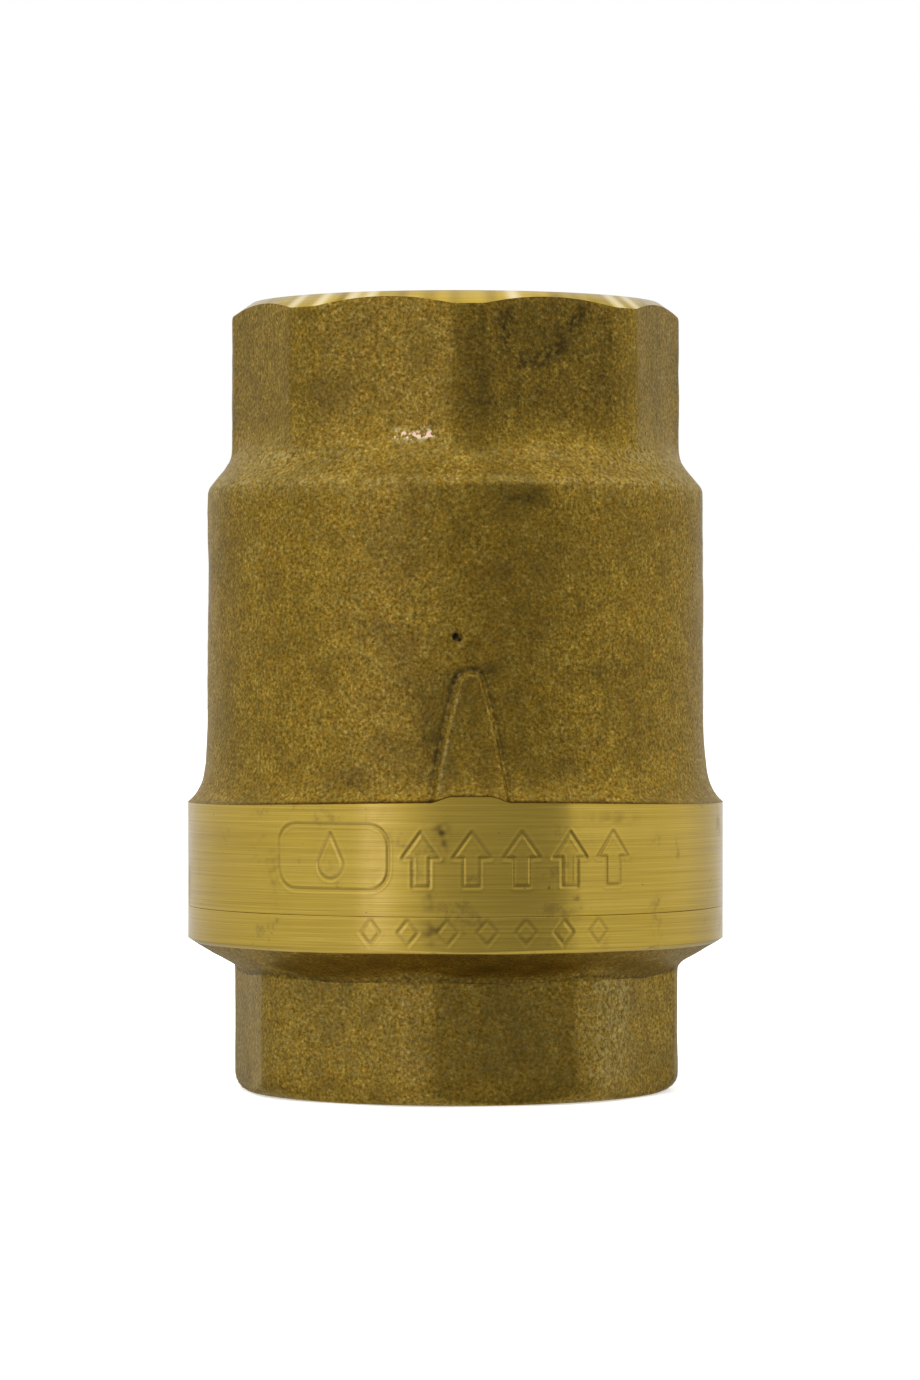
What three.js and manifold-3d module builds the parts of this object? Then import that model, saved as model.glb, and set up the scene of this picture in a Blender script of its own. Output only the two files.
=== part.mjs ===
// An in-line spring check valve for 3/4 inch pipe, in brass.
// Millimetres, +Z up and along the flow. The origin is the centre of the inlet end's flat face, which the
// valve stands on. -Y is the front, where the cast flow tongue is.
// Water comes in at the bottom, lifts a sprung poppet off its seat and leaves at the top.
import * as THREE from "three";
import { mergeVertices } from "three/addons/utils/BufferGeometryUtils.js";
import Module from "manifold-3d";

const wasm = await Module();
wasm.setup();

// ---- Driving dimensions ----

const LENGTH = 59.2; // inlet face to outlet face
const ACROSS_FLATS = 32; // both octagonal ends take one spanner
const CORNER_R = 16.85; // the octagons' corners are rounded to this radius
const CAP_TURN = THREE.MathUtils.degToRad(-12.3); // how far round the cap stops when it is screwed home
const BAND_R = 20.2; // the turned band over the joint
const BAND_EDGE = 0.15; // the broken edges of the turned band
const BODY_R = 18.67; // the cast barrel of the body
const FLARE = { nearShare: 0.8, nearHeight: 1, farHeight: 4 }; // how the barrel widens down to the band

const CAP_NECK_Z = 9.6; // where the cap's octagon meets the underside of its collar
const BAND_LOW_Z = 11.45; // lower edge of the turned band, on the cap
const JOINT_Z = 13.9; // joint of cap and body, inside the band
const BAND_HIGH_Z = 21.72; // upper edge of the turned band, on the body
const SHOULDER_Z = 44.85; // where the barrel starts to round in to the outlet's octagon
const NECK_Z = 46.9; // where the shoulder's slope starts to fade into the octagon
const NECK_TOP_Z = 49.6; // where it has gone
const NECK = { footR: 17.25, insideR: 15.2, fadeHeight: 2.53 }; // the slope's foot, and how it fades
const SHOULDER_ROUND = 0.8;
const OUTLET_CHAMFER = { r: 1.45, z: 1.03 };
const INLET_ROUND = 1.35;
// The cast pad that points along the flow: its round tip, the bend of its sides, and its foot.
const TONGUE = { tipZ: 31.6, tipR: 1.05, bendHalfWidth: 2.3, bendZ: 26.6, footHalfWidth: 3.05, raised: 0.32 };

// G 3/4 pipe thread, 14 turns to the inch.
const THREAD = { majorR: 13.22, minorR: 12.06, pitch: 1.814, length: 12.4 };
const PORT_MOUTH = { overThread: 0.3, leadIn: 1.3 }; // the countersink at each port's mouth
const RELIEF = { r: 13.4, length: 1.3 }; // the groove where the thread runs out

const SEAT_R = 10.2; // bore through the seat
const SEAT_Z = 22.3; // plane of the seat's lip
const SEAT_LIP = { width: 1.3, chamfer: 0.3, footR: 12.6, footDrop: 0.4 };
// The cap's screwed spigot, and the body's bore round it.
const SPIGOT = { r: 17.6, topZ: 21.4, chamfer: 0.7, bore: 17.9 };
const CAVITY = { r: 16.3, lowZ: 22.6, topZ: 41.8 }; // the poppet's room in the body
const THROAT = { r: 11.5, lowZ: 44.2, mouthR: 13.9 }; // way out of the cavity to the outlet

const LIFT = 5.5; // the poppet's travel, a little over a quarter of the seat's bore
const STEM = { r: 2.5, screwR: 2, lowZ: 15.7, shoulderZ: 29.3, topZ: 43, point: 0.4 };
const DISC = { r: 13.3, lowZ: 23.3, edge: 0.3, bevel: { r: 1.4, z: 1.2 }, webZ: 26.7, hubR: 5, hubEdge: 0.5 };
const SEAL = { innerR: 6, outerR: 12.5, thickness: 2.4 };
const RETAINER = { r: 8.9, thickness: 1.6 };
const WING = { count: 4, innerR: 5.6, r: 9.95, lowZ: 14.9, width: 1.5, bevel: 1.2, topDrop: 0.5 };
const NUT = { acrossFlats: 7, height: 3.2, faceInset: 0.1, chamfer: 0.35 };
const WASHER = { r: 3.8, thickness: 1, gap: 0.5, gapAngle: Math.PI / 5 };

const GUIDE = { r: 16, rimInnerR: 13.8, lowZ: 39, topZ: 41.7 };
const GUIDE_HUB = { r: 4.6, topZ: 43.6, edge: 0.6, bossR: 5.25, bossEdge: { r: 0.4, z: 0.6 }, bossTop: 0.4 };
const GUIDE_ARM = { count: 4, width: 2.2, topDrop: 0.2 };
const SPRING = { meanR: 6, wireR: 0.4, turns: 6, deadTurns: 1, deadPitch: 0.86, endGap: 0.08 };
const O_RING = { meanR: 16.85, r: 0.85, z: 15.5, grooveR: 15.95, grooveHeight: 2.2 };

const CLEARANCE = 0.1; // round pieces that slide or drop into each other
const FACE_GAP = 0.06; // faces that are pressed together
const SKIN = 0.02; // keeps two faces that would otherwise meet from lying in one plane
const OVERLAP = 0.1; // how far shapes that are joined run into each other

const OUTER_STEPS = 64;
const INNER_STEPS = 40;
const THREAD_STEPS = 32;
const SMALL_STEPS = 24;
const TONGUE_STEPS = 96;
const SPRING_STEPS = 18; // in each turn of the wire
const CUT = 1; // how far a cutter runs past the face it cuts

// ---- Shapes ----

// A closed geometry as a solid that can be joined and cut.
function solid(geometry) {
  const bare = geometry.index ? geometry.toNonIndexed() : geometry.clone();
  bare.deleteAttribute("normal");
  bare.deleteAttribute("uv");
  const merged = mergeVertices(bare, 1e-4);
  const made = new wasm.Manifold(
    new wasm.Mesh({
      numProp: 3,
      vertProperties: new Float32Array(merged.attributes.position.array),
      triVerts: new Uint32Array(merged.index.array),
    }),
  );
  if (made.volume() <= 0) throw new Error("a shape's faces point inwards");
  return made;
}

// A solid as a geometry with flat faces.
function geometryOf(made) {
  const mesh = made.getMesh();
  const geometry = new THREE.BufferGeometry();
  geometry.setAttribute("position", new THREE.BufferAttribute(mesh.vertProperties, 3));
  geometry.setIndex(new THREE.BufferAttribute(mesh.triVerts, 1));
  const flat = geometry.toNonIndexed();
  flat.computeVertexNormals();
  return flat;
}

// A turned solid. The outline is a closed loop of [radius, z], anticlockwise with the radius to the right.
function turned(outline, steps = INNER_STEPS) {
  const points = [...outline, outline[0]].map(([r, z]) => new THREE.Vector2(r, z));
  return solid(new THREE.LatheGeometry(points, steps).rotateX(Math.PI / 2));
}

// A turned ring or disc with a square section.
function ring(innerR, outerR, lowZ, highZ, steps = INNER_STEPS) {
  return turned([[innerR, lowZ], [outerR, lowZ], [outerR, highZ], [innerR, highZ]], steps);
}

function disc(r, lowZ, highZ, steps = INNER_STEPS) {
  return ring(0, r, lowZ, highZ, steps);
}

// Points of an arc in a turned outline, with its angles in degrees from the radius axis.
function arc(centreR, centreZ, r, fromDeg, toDeg, steps) {
  return Array.from({ length: steps + 1 }, (_, i) => {
    const angle = THREE.MathUtils.degToRad(fromDeg + ((toDeg - fromDeg) * i) / steps);
    return [centreR + r * Math.cos(angle), centreZ + r * Math.sin(angle)];
  });
}

// A prism with flat sides, one corner of which is on the front meridian.
function prism(sides, acrossFlats, lowZ, highZ) {
  const cornerR = acrossFlats / 2 / Math.cos(Math.PI / sides);
  const corners = Array.from({ length: sides }, (_, i) => {
    const angle = (2 * Math.PI * i) / sides - Math.PI / 2;
    return new THREE.Vector2(cornerR * Math.cos(angle), cornerR * Math.sin(angle));
  });
  const geometry = new THREE.ExtrudeGeometry(new THREE.Shape(corners), {
    depth: highZ - lowZ,
    bevelEnabled: false,
  });
  return solid(geometry.translate(0, 0, lowZ));
}

// A bar that lies along the radius, from the axis out to r.
function spoke(r, width, lowZ, highZ, angle) {
  const bar = new THREE.BoxGeometry(r, width, highZ - lowZ);
  bar.translate(r / 2, 0, (lowZ + highZ) / 2);
  return solid(bar.rotateZ(angle));
}

function spokes(count, r, width, lowZ, highZ, firstAngle) {
  const bars = Array.from({ length: count }, (_, i) =>
    spoke(r, width, lowZ, highZ, firstAngle + (2 * Math.PI * i) / count),
  );
  return bars.reduce((all, bar) => all.add(bar));
}

// A rod with the port's right-hand V thread, trimmed square at both heights. Its rows of points climb one
// pitch in each turn, root and crest by turns, so a row's last point is the first point of the row two above.
function threadedRod(lowZ, highZ) {
  const { majorR, minorR, pitch } = THREAD;
  const startZ = lowZ - 2 * pitch;
  const rows = 2 * Math.ceil((highZ - lowZ) / pitch + 4);
  const around = THREAD_STEPS + 1;
  const positions = [];
  for (let row = 0; row <= rows; row++) {
    for (let step = 0; step < around; step++) {
      const share = step / THREAD_STEPS;
      const angle = 2 * Math.PI * (step % THREAD_STEPS) / THREAD_STEPS;
      const r = row % 2 ? majorR : minorR;
      positions.push(r * Math.cos(angle), r * Math.sin(angle), startZ + (row / 2 + share) * pitch);
    }
  }
  const index = [];
  for (let row = 0; row < rows; row++) {
    for (let step = 0; step < THREAD_STEPS; step++) {
      const a = row * around + step;
      index.push(a, a + 1, a + around, a + 1, a + around + 1, a + around);
    }
  }
  // Each end is closed by a fan round a point on the axis, which also covers the step at the seam.
  const foot = positions.length / 3;
  const head = foot + 1;
  positions.push(0, 0, startZ, 0, 0, startZ + (rows / 2 + 1) * pitch);
  const topRow = rows * around;
  for (let step = 0; step < THREAD_STEPS; step++) {
    index.push(foot, step + 1, step);
    index.push(head, topRow + step, topRow + step + 1);
  }
  for (const row of [0, 1]) {
    index.push(foot, row * around, (row + 1) * around);
    const last = topRow + THREAD_STEPS - row * around;
    index.push(head, last, last - around);
  }
  const geometry = new THREE.BufferGeometry();
  geometry.setAttribute("position", new THREE.Float32BufferAttribute(positions, 3));
  geometry.setIndex(index);
  return solid(geometry).intersect(disc(majorR + CUT, lowZ, highZ, THREAD_STEPS));
}

// What is cut out of an end for a threaded port, with its mouth at z = 0 and its bottom above it.
function portCutter() {
  const { minorR, majorR, length } = THREAD;
  const mouthR = majorR + PORT_MOUTH.overThread;
  const mouthOutline = [
    [0, -CUT],
    [mouthR + CUT, -CUT],
    [mouthR - PORT_MOUTH.leadIn, PORT_MOUTH.leadIn],
    [0, PORT_MOUTH.leadIn],
  ];
  const mouth = turned(mouthOutline, THREAD_STEPS);
  const relief = disc(RELIEF.r, length - RELIEF.length, length, THREAD_STEPS);
  return disc(minorR, -CUT, length - OVERLAP, THREAD_STEPS)
    .add(threadedRod(-CUT, length - OVERLAP))
    .add(mouth)
    .add(relief);
}

// ---- Fixed pieces ----

// The cast barrel's radius at a height, from where it flares out to the turned band up to the shoulder.
function barrelR(z) {
  const { nearShare, nearHeight, farHeight } = FLARE;
  const above = z - BAND_HIGH_Z;
  const near = nearShare * Math.exp(-above / nearHeight);
  const far = (1 - nearShare) * Math.exp(-above / farHeight);
  return BODY_R + (BAND_R - SKIN - BODY_R) * (near + far);
}

// The shoulder's radius at a height above its slope, where it fades into the octagon's flats.
function neckR(z) {
  const { footR, insideR, fadeHeight } = NECK;
  return insideR + (footR - insideR) * Math.exp((NECK_Z - z) / fadeHeight);
}

// The barrel and shoulder's outline above the band, as points of [radius, z], raised by a height.
function barrelOutline(raised) {
  const flareHeights = [0, 0.4, 1, 2, 4, 9];
  const flare = flareHeights.map((above) => [barrelR(BAND_HIGH_Z + above) + raised, BAND_HIGH_Z + above]);
  const slopeDeg = 40;
  const shoulder = arc(BODY_R - SHOULDER_ROUND, SHOULDER_Z, SHOULDER_ROUND + raised, 0, slopeDeg, 3);
  const neckSteps = 4;
  const neck = Array.from({ length: neckSteps + 1 }, (_, i) => {
    const z = NECK_Z + ((NECK_TOP_Z - NECK_Z) * i) / neckSteps;
    return [neckR(z), z];
  });
  return [...flare, ...shoulder, ...neck];
}

// The flow tongue is a low cast pad with a round tip, which the turned band cuts off at its foot.
function flowTongue() {
  const { tipZ, tipR, bendHalfWidth, bendZ, footHalfWidth, raised } = TONGUE;
  const footZ = BAND_HIGH_Z - 2;
  const outline = new THREE.Shape();
  outline.moveTo(-footHalfWidth, footZ);
  outline.lineTo(footHalfWidth, footZ);
  outline.quadraticCurveTo(bendHalfWidth, bendZ, tipR, tipZ - tipR);
  outline.absarc(0, tipZ - tipR, tipR, 0, Math.PI, false);
  outline.quadraticCurveTo(-bendHalfWidth, bendZ, -footHalfWidth, footZ);
  const depth = 4;
  const outside = 2.5;
  const pad = new THREE.ExtrudeGeometry(outline, { depth, bevelEnabled: false, curveSegments: 8 });
  pad.rotateX(Math.PI / 2).translate(0, outside - BODY_R, 0);
  const lowZ = footZ - CUT;
  const insideR = 10;
  const skinOutline = [[insideR, lowZ], [BAND_R, lowZ], ...barrelOutline(raised), [insideR, NECK_TOP_Z]];
  const skin = turned(skinOutline, TONGUE_STEPS);
  return solid(pad).intersect(skin).intersect(disc(BAND_R, lowZ, NECK_Z, OUTER_STEPS));
}

function makeBody() {
  const jointZ = JOINT_Z + FACE_GAP;
  const outside = turned(
    [
      [0, jointZ],
      [BAND_R - BAND_EDGE, jointZ],
      [BAND_R, jointZ + BAND_EDGE],
      [BAND_R, BAND_HIGH_Z - SKIN],
      ...barrelOutline(0),
      [0, NECK_TOP_Z],
    ],
    OUTER_STEPS,
  );
  const end = turned(
    [
      [0, SHOULDER_Z],
      [CORNER_R, SHOULDER_Z],
      [CORNER_R, LENGTH - OUTLET_CHAMFER.z],
      [CORNER_R - OUTLET_CHAMFER.r, LENGTH],
      [0, LENGTH],
    ],
    OUTER_STEPS,
  ).intersect(prism(8, ACROSS_FLATS, SHOULDER_Z, LENGTH));
  const cavity = turned([
    [0, jointZ - CUT],
    [SPIGOT.bore, jointZ - CUT],
    [SPIGOT.bore, SPIGOT.topZ + SPIGOT.bore - SPIGOT.r],
    [CAVITY.r, CAVITY.lowZ],
    [CAVITY.r, CAVITY.topZ],
    [THROAT.mouthR, CAVITY.topZ],
    [THROAT.r, THROAT.lowZ],
    [THROAT.r, LENGTH - CUT],
    [0, LENGTH - CUT],
  ]);
  const port = portCutter().rotate([180, 0, 0]).translate([0, 0, LENGTH]);
  return outside.add(end).add(flowTongue()).subtract(cavity).subtract(port);
}

function makeEndCap() {
  const octagon = turned(
    [
      [0, 0],
      ...arc(CORNER_R - INLET_ROUND, INLET_ROUND, INLET_ROUND, -90, 0, 4),
      [CORNER_R, CAP_NECK_Z + 1],
      [0, CAP_NECK_Z + 1],
    ],
    OUTER_STEPS,
  ).intersect(prism(8, ACROSS_FLATS, 0, CAP_NECK_Z + 1));
  const insideR = ACROSS_FLATS / 2 - 3 * OVERLAP;
  const slope = (BAND_LOW_Z - CAP_NECK_Z) / (BAND_R - CORNER_R);
  const insideZ = CAP_NECK_Z - slope * (CORNER_R - insideR);
  const grooveLowZ = O_RING.z - O_RING.grooveHeight / 2;
  const grooveHighZ = O_RING.z + O_RING.grooveHeight / 2;
  const collar = turned(
    [
      [0, insideZ],
      [insideR, insideZ],
      [BAND_R - BAND_EDGE, BAND_LOW_Z - BAND_EDGE * slope],
      [BAND_R, BAND_LOW_Z + BAND_EDGE],
      [BAND_R, JOINT_Z - BAND_EDGE],
      [BAND_R - BAND_EDGE, JOINT_Z],
      [SPIGOT.r, JOINT_Z],
      [SPIGOT.r, grooveLowZ],
      [O_RING.grooveR, grooveLowZ],
      [O_RING.grooveR, grooveHighZ],
      [SPIGOT.r, grooveHighZ],
      [SPIGOT.r, SPIGOT.topZ - SPIGOT.chamfer],
      [SPIGOT.r - SPIGOT.chamfer, SPIGOT.topZ],
      [SEAT_LIP.footR, SPIGOT.topZ - SEAT_LIP.footDrop],
      [SEAT_R + SEAT_LIP.width, SEAT_Z - SKIN],
      [0, SEAT_Z - SKIN],
    ],
    OUTER_STEPS,
  );
  const narrowing = { lowZ: THREAD.length + 0.4, highZ: THREAD.length + 2 };
  const bore = turned([
    [0, THREAD.length - OVERLAP],
    [THREAD.minorR, THREAD.length - OVERLAP],
    [THREAD.minorR, narrowing.lowZ],
    [SEAT_R, narrowing.highZ],
    [SEAT_R, SEAT_Z - SEAT_LIP.chamfer],
    [SEAT_R + SEAT_LIP.chamfer, SEAT_Z],
    [SEAT_R + SEAT_LIP.chamfer, SEAT_Z + CUT],
    [0, SEAT_Z + CUT],
  ]);
  return octagon.add(collar).subtract(bore).subtract(portCutter());
}

function makeJointORing() {
  const sides = 8;
  const lastDeg = 360 - 360 / sides;
  return turned(arc(O_RING.meanR, O_RING.z, O_RING.r, 0, lastDeg, sides - 1));
}

// The outlet guide is a moulded spider. Its rim stands against the step at the top of the cavity, held there
// by the spring, and its hub guides the stem.
function makeOutletGuide() {
  const { r: hubR, topZ: hubTopZ, edge, bossR, bossEdge, bossTop } = GUIDE_HUB;
  const bossLowZ = STEM.shoulderZ + LIFT + CLEARANCE;
  const rim = ring(GUIDE.rimInnerR, GUIDE.r, GUIDE.lowZ, GUIDE.topZ);
  const hub = turned([
    [0, bossLowZ],
    [bossR - bossEdge.r, bossLowZ],
    [bossR, bossLowZ + bossEdge.z],
    [bossR, GUIDE.lowZ + bossTop],
    [hubR, GUIDE.topZ],
    [hubR, hubTopZ - edge],
    [hubR - edge, hubTopZ],
    [0, hubTopZ],
  ]);
  const { count, width, topDrop } = GUIDE_ARM;
  const arms = spokes(count, GUIDE.rimInnerR + CUT, width, GUIDE.lowZ, GUIDE.topZ - topDrop, Math.PI / count);
  const bore = disc(STEM.r + CLEARANCE, bossLowZ - CUT, hubTopZ + CUT, SMALL_STEPS);
  return rim.add(hub).add(arms).subtract(bore);
}

// ---- The poppet ----

function makeStem() {
  const { point } = STEM;
  return turned(
    [
      [0, STEM.lowZ],
      [STEM.screwR - point, STEM.lowZ],
      [STEM.screwR, STEM.lowZ + point],
      [STEM.screwR, STEM.shoulderZ + FACE_GAP],
      [STEM.r, STEM.shoulderZ + FACE_GAP],
      [STEM.r, STEM.topZ - point],
      [STEM.r - point, STEM.topZ],
      [0, STEM.topZ],
    ],
    SMALL_STEPS,
  );
}

// The valve disc is a cup, open downwards, that holds the seal round a boss.
function makeValveDisc() {
  const sealTopZ = SEAT_Z + SEAL.thickness + FACE_GAP;
  const bossLowZ = SEAT_Z + CLEARANCE;
  const holeR = STEM.screwR + CLEARANCE;
  return turned(
    [
      [holeR, bossLowZ],
      [SEAL.innerR - CLEARANCE, bossLowZ],
      [SEAL.innerR - CLEARANCE, sealTopZ],
      [SEAL.outerR + CLEARANCE, sealTopZ],
      [SEAL.outerR + CLEARANCE, DISC.lowZ],
      [DISC.r - DISC.edge, DISC.lowZ],
      [DISC.r, DISC.lowZ + DISC.edge],
      [DISC.r, DISC.webZ - DISC.bevel.z],
      [DISC.r - DISC.bevel.r, DISC.webZ],
      [DISC.hubR, DISC.webZ],
      [DISC.hubR, STEM.shoulderZ - DISC.hubEdge],
      [DISC.hubR - DISC.hubEdge, STEM.shoulderZ],
      [holeR, STEM.shoulderZ],
    ],
    INNER_STEPS,
  );
}

function makeSeatSeal() {
  return ring(SEAL.innerR, SEAL.outerR, SEAT_Z, SEAT_Z + SEAL.thickness);
}

// The retainer clamps the seal from below, and its wings slide in the seat's bore.
function makeSealRetainer() {
  const topZ = SEAT_Z - FACE_GAP;
  const lowZ = topZ - RETAINER.thickness;
  const plate = disc(RETAINER.r, lowZ, topZ);
  const bevelled = turned([
    [0, WING.lowZ],
    [WING.r - WING.bevel, WING.lowZ],
    [WING.r, WING.lowZ + WING.bevel],
    [WING.r, topZ],
    [0, topZ],
  ]);
  const wings = spokes(WING.count, WING.r, WING.width, WING.lowZ, topZ - WING.topDrop, 0)
    .subtract(disc(WING.innerR, WING.lowZ - CUT, lowZ))
    .intersect(bevelled);
  return plate.add(wings).subtract(disc(STEM.screwR + CLEARANCE, lowZ - CUT, topZ + CUT, SMALL_STEPS));
}

const WASHER_TOP_Z = SEAT_Z - FACE_GAP - RETAINER.thickness - FACE_GAP;
const NUT_TOP_Z = WASHER_TOP_Z - WASHER.thickness - FACE_GAP;

// The lock washer is split, and its two ends stand a little apart.
function makeLockWasher() {
  const whole = ring(
    STEM.screwR + CLEARANCE,
    WASHER.r,
    WASHER_TOP_Z - WASHER.thickness,
    WASHER_TOP_Z,
    SMALL_STEPS,
  );
  const { r, gap, gapAngle } = WASHER;
  return whole.subtract(spoke(r + CUT, gap, NUT_TOP_Z - CUT, WASHER_TOP_Z + CUT, gapAngle));
}

function makeStemNut() {
  const lowZ = NUT_TOP_Z - NUT.height;
  const cornerR = NUT.acrossFlats / 2 / Math.cos(Math.PI / 6);
  const faceR = NUT.acrossFlats / 2 - NUT.faceInset;
  const rounded = turned(
    [
      [0, lowZ],
      [faceR, lowZ],
      [cornerR, lowZ + NUT.chamfer],
      [cornerR, NUT_TOP_Z - NUT.chamfer],
      [faceR, NUT_TOP_Z],
      [0, NUT_TOP_Z],
    ],
    SMALL_STEPS,
  );
  return prism(6, NUT.acrossFlats, lowZ, NUT_TOP_Z)
    .intersect(rounded)
    .subtract(disc(STEM.screwR + CLEARANCE, lowZ - CUT, NUT_TOP_Z + CUT, SMALL_STEPS));
}

// ---- The spring ----

// The wire's centre line. The turns at each end lie close together, and the others share the space between.
class SpringLine extends THREE.Curve {
  constructor(lowZ, highZ) {
    super();
    this.lowZ = lowZ;
    const { turns, deadTurns, deadPitch } = SPRING;
    this.openPitch = (highZ - lowZ - 2 * deadTurns * deadPitch) / (turns - 2 * deadTurns);
  }

  getPoint(share, target = new THREE.Vector3()) {
    const { meanR, turns, deadTurns, deadPitch } = SPRING;
    const turn = share * turns;
    const openTurns = THREE.MathUtils.clamp(turn - deadTurns, 0, turns - 2 * deadTurns);
    const z = this.lowZ + (turn - openTurns) * deadPitch + openTurns * this.openPitch;
    const angle = turn * 2 * Math.PI;
    return target.set(meanR * Math.cos(angle), meanR * Math.sin(angle), z);
  }
}

function makeSpring() {
  const offset = SPRING.wireR + SPRING.endGap;
  const line = new SpringLine(DISC.webZ + offset, GUIDE.lowZ - offset);
  const sides = 8;
  const section = new THREE.Shape(
    Array.from({ length: sides }, (_, i) => {
      const angle = (2 * Math.PI * i) / sides;
      return new THREE.Vector2(SPRING.wireR * Math.cos(angle), SPRING.wireR * Math.sin(angle));
    }),
  );
  return solid(new THREE.ExtrudeGeometry(section, { steps: SPRING.turns * SPRING_STEPS, extrudePath: line }));
}

// ---- The assembly ----

const FINISH = {
  cast_brass: { color: 0x7d6429, roughness: 0.55, metalness: 1 },
  turned_brass: { color: 0xb8963c, roughness: 0.28, metalness: 1 },
  stainless: { color: 0xb9bbbd, roughness: 0.3, metalness: 1 },
  rubber: { color: 0x1a1a1b, roughness: 0.75, metalness: 0 },
  acetal: { color: 0xe6e3da, roughness: 0.45, metalness: 0 },
};

const valve = new THREE.Group();

function addPiece(group, name, made, finish) {
  const mesh = new THREE.Mesh(geometryOf(made), new THREE.MeshStandardMaterial(FINISH[finish]));
  mesh.name = name;
  group.add(mesh);
}

addPiece(valve, "body", makeBody(), "cast_brass");
addPiece(valve, "outlet_guide", makeOutletGuide(), "acetal");
addPiece(valve, "spring", makeSpring(), "stainless");

const cap = new THREE.Group();
cap.rotation.z = CAP_TURN;
addPiece(cap, "end_cap", makeEndCap(), "cast_brass");
addPiece(cap, "joint_o_ring", makeJointORing(), "rubber");
valve.add(cap);

const poppet = new THREE.Group();
addPiece(poppet, "stem", makeStem(), "stainless");
addPiece(poppet, "valve_disc", makeValveDisc(), "turned_brass");
addPiece(poppet, "seat_seal", makeSeatSeal(), "rubber");
addPiece(poppet, "seal_retainer", makeSealRetainer(), "turned_brass");
addPiece(poppet, "lock_washer", makeLockWasher(), "stainless");
addPiece(poppet, "stem_nut", makeStemNut(), "stainless");
valve.add(poppet);

export default valve;
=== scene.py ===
# The looks of an in-line spring check valve in brass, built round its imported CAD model.
# Lengths are in millimetres until a mesh is made. Angles round the valve start at the front, which is -Y, and
# grow towards +X. Heights start at the inlet's face.
import math

import bpy
import numpy as np
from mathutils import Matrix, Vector


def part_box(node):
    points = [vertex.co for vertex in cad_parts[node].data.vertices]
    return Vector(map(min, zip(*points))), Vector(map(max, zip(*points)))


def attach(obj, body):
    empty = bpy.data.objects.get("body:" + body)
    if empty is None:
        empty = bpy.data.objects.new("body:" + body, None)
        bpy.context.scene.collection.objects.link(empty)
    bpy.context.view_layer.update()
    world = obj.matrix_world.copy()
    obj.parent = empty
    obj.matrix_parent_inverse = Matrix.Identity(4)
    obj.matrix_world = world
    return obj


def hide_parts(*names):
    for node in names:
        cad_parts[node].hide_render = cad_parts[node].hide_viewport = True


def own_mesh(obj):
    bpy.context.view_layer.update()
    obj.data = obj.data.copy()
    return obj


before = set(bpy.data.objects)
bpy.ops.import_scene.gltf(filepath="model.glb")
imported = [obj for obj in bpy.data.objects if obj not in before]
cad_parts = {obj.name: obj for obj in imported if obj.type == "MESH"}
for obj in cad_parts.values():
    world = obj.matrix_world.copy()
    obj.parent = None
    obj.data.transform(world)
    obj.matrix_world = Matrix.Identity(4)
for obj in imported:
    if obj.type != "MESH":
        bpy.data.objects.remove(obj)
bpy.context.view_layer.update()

MM = 0.001
FULL_TURN = 2 * math.pi


def mm_box(node):
    """A CAD node's lowest and highest corners, in millimetres."""
    low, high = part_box(node)
    return np.array(low) / MM, np.array(high) / MM


# ---- Driving dimensions of the castings ----

BODY_LOW, BODY_HIGH = mm_box("body")
LENGTH = BODY_HIGH[2]
BAND_R = BODY_HIGH[0]
COLLAR_TOP_Z = 13.9
JOINT_GAP = 0.02  # between the cap's collar and the body's skirt
JOINT_Z = (COLLAR_TOP_Z + BODY_LOW[2]) / 2
JOINT_LOW_Z = JOINT_Z - JOINT_GAP / 2
JOINT_HIGH_Z = JOINT_Z + JOINT_GAP / 2
EDGE = 0.025  # the bevels of the joint
BAND_LOW_Z = 11.45
BAND_HIGH_Z = 21.72
BODY_R = 18.67
SHOULDER_Z = 44.85
NECK_Z = 46.9
NECK_R = 17.25
FLAT_R = 16.0  # half the octagons' 32 mm spanner size
CORNER_R = 16.85
CAP_NECK_Z = 9.6
CAP_TURN = math.radians(-12.3)

CREST_R = 12.06  # of the G 3/4 port threads
ROOT_R = 13.22
THREAD_PITCH = 1.814
THREAD_LENGTH = 12.4
MOUTH_R = ROOT_R + 0.3
RELIEF_R = 13.4
RELIEF_LENGTH = 1.3
FACE_INNER_R = 14.5  # where the turned end faces get their inner row of points

SEAT_R = 10.2
SEAT_Z = mm_box("end_cap")[1][2]
SPIGOT_R = 17.6
SPIGOT_TOP_Z = 21.4
GROOVE_R = 15.95  # the O-ring's groove
GROOVE_LOW_Z = 14.4
GROOVE_HIGH_Z = 16.6
SKIRT_R = 17.9
CAVITY_R = 16.3
CAVITY_TOP_Z = 41.8
THROAT_R = 11.5
THROAT_LOW_Z = 44.2

CAST, TURNED = 0, 1  # the two finishes of the castings
END_COLUMNS = 112  # points round the end faces and the ports
INNER_COLUMNS = 160  # points round the other turned surfaces inside


# ---- Outlines and surfaces ----


def steps(start, end, spacing):
    """Evenly spaced values from start up to, but not including, end."""
    count = max(1, round((end - start) / spacing))
    return start + (end - start) * np.arange(count) / count


def all_round(count):
    """Evenly spaced angles all round."""
    return steps(-math.pi, math.pi, FULL_TURN / count)


def repeated_round(sector, sides):
    """The angles of one side, repeated round the axis."""
    turns = np.concatenate([sector + i * FULL_TURN / sides for i in range(sides)])
    return np.sort((turns + math.pi) % FULL_TURN - math.pi)


def smooth_step(value, low, high):
    share = np.clip((value - low) / (high - low), 0, 1)
    return share * share * (3 - 2 * share)


def window(value, low, full_low, full_high, high):
    """1 between two values, fading to 0 at the two values outside them."""
    return smooth_step(value, low, full_low) * smooth_step(-value, -high, -full_high)


def smooth_max(a, b, width):
    return (a + b + np.sqrt((a - b) ** 2 + width**2)) / 2


def smooth_min(a, b, width):
    return -smooth_max(-a, -b, width)


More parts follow.
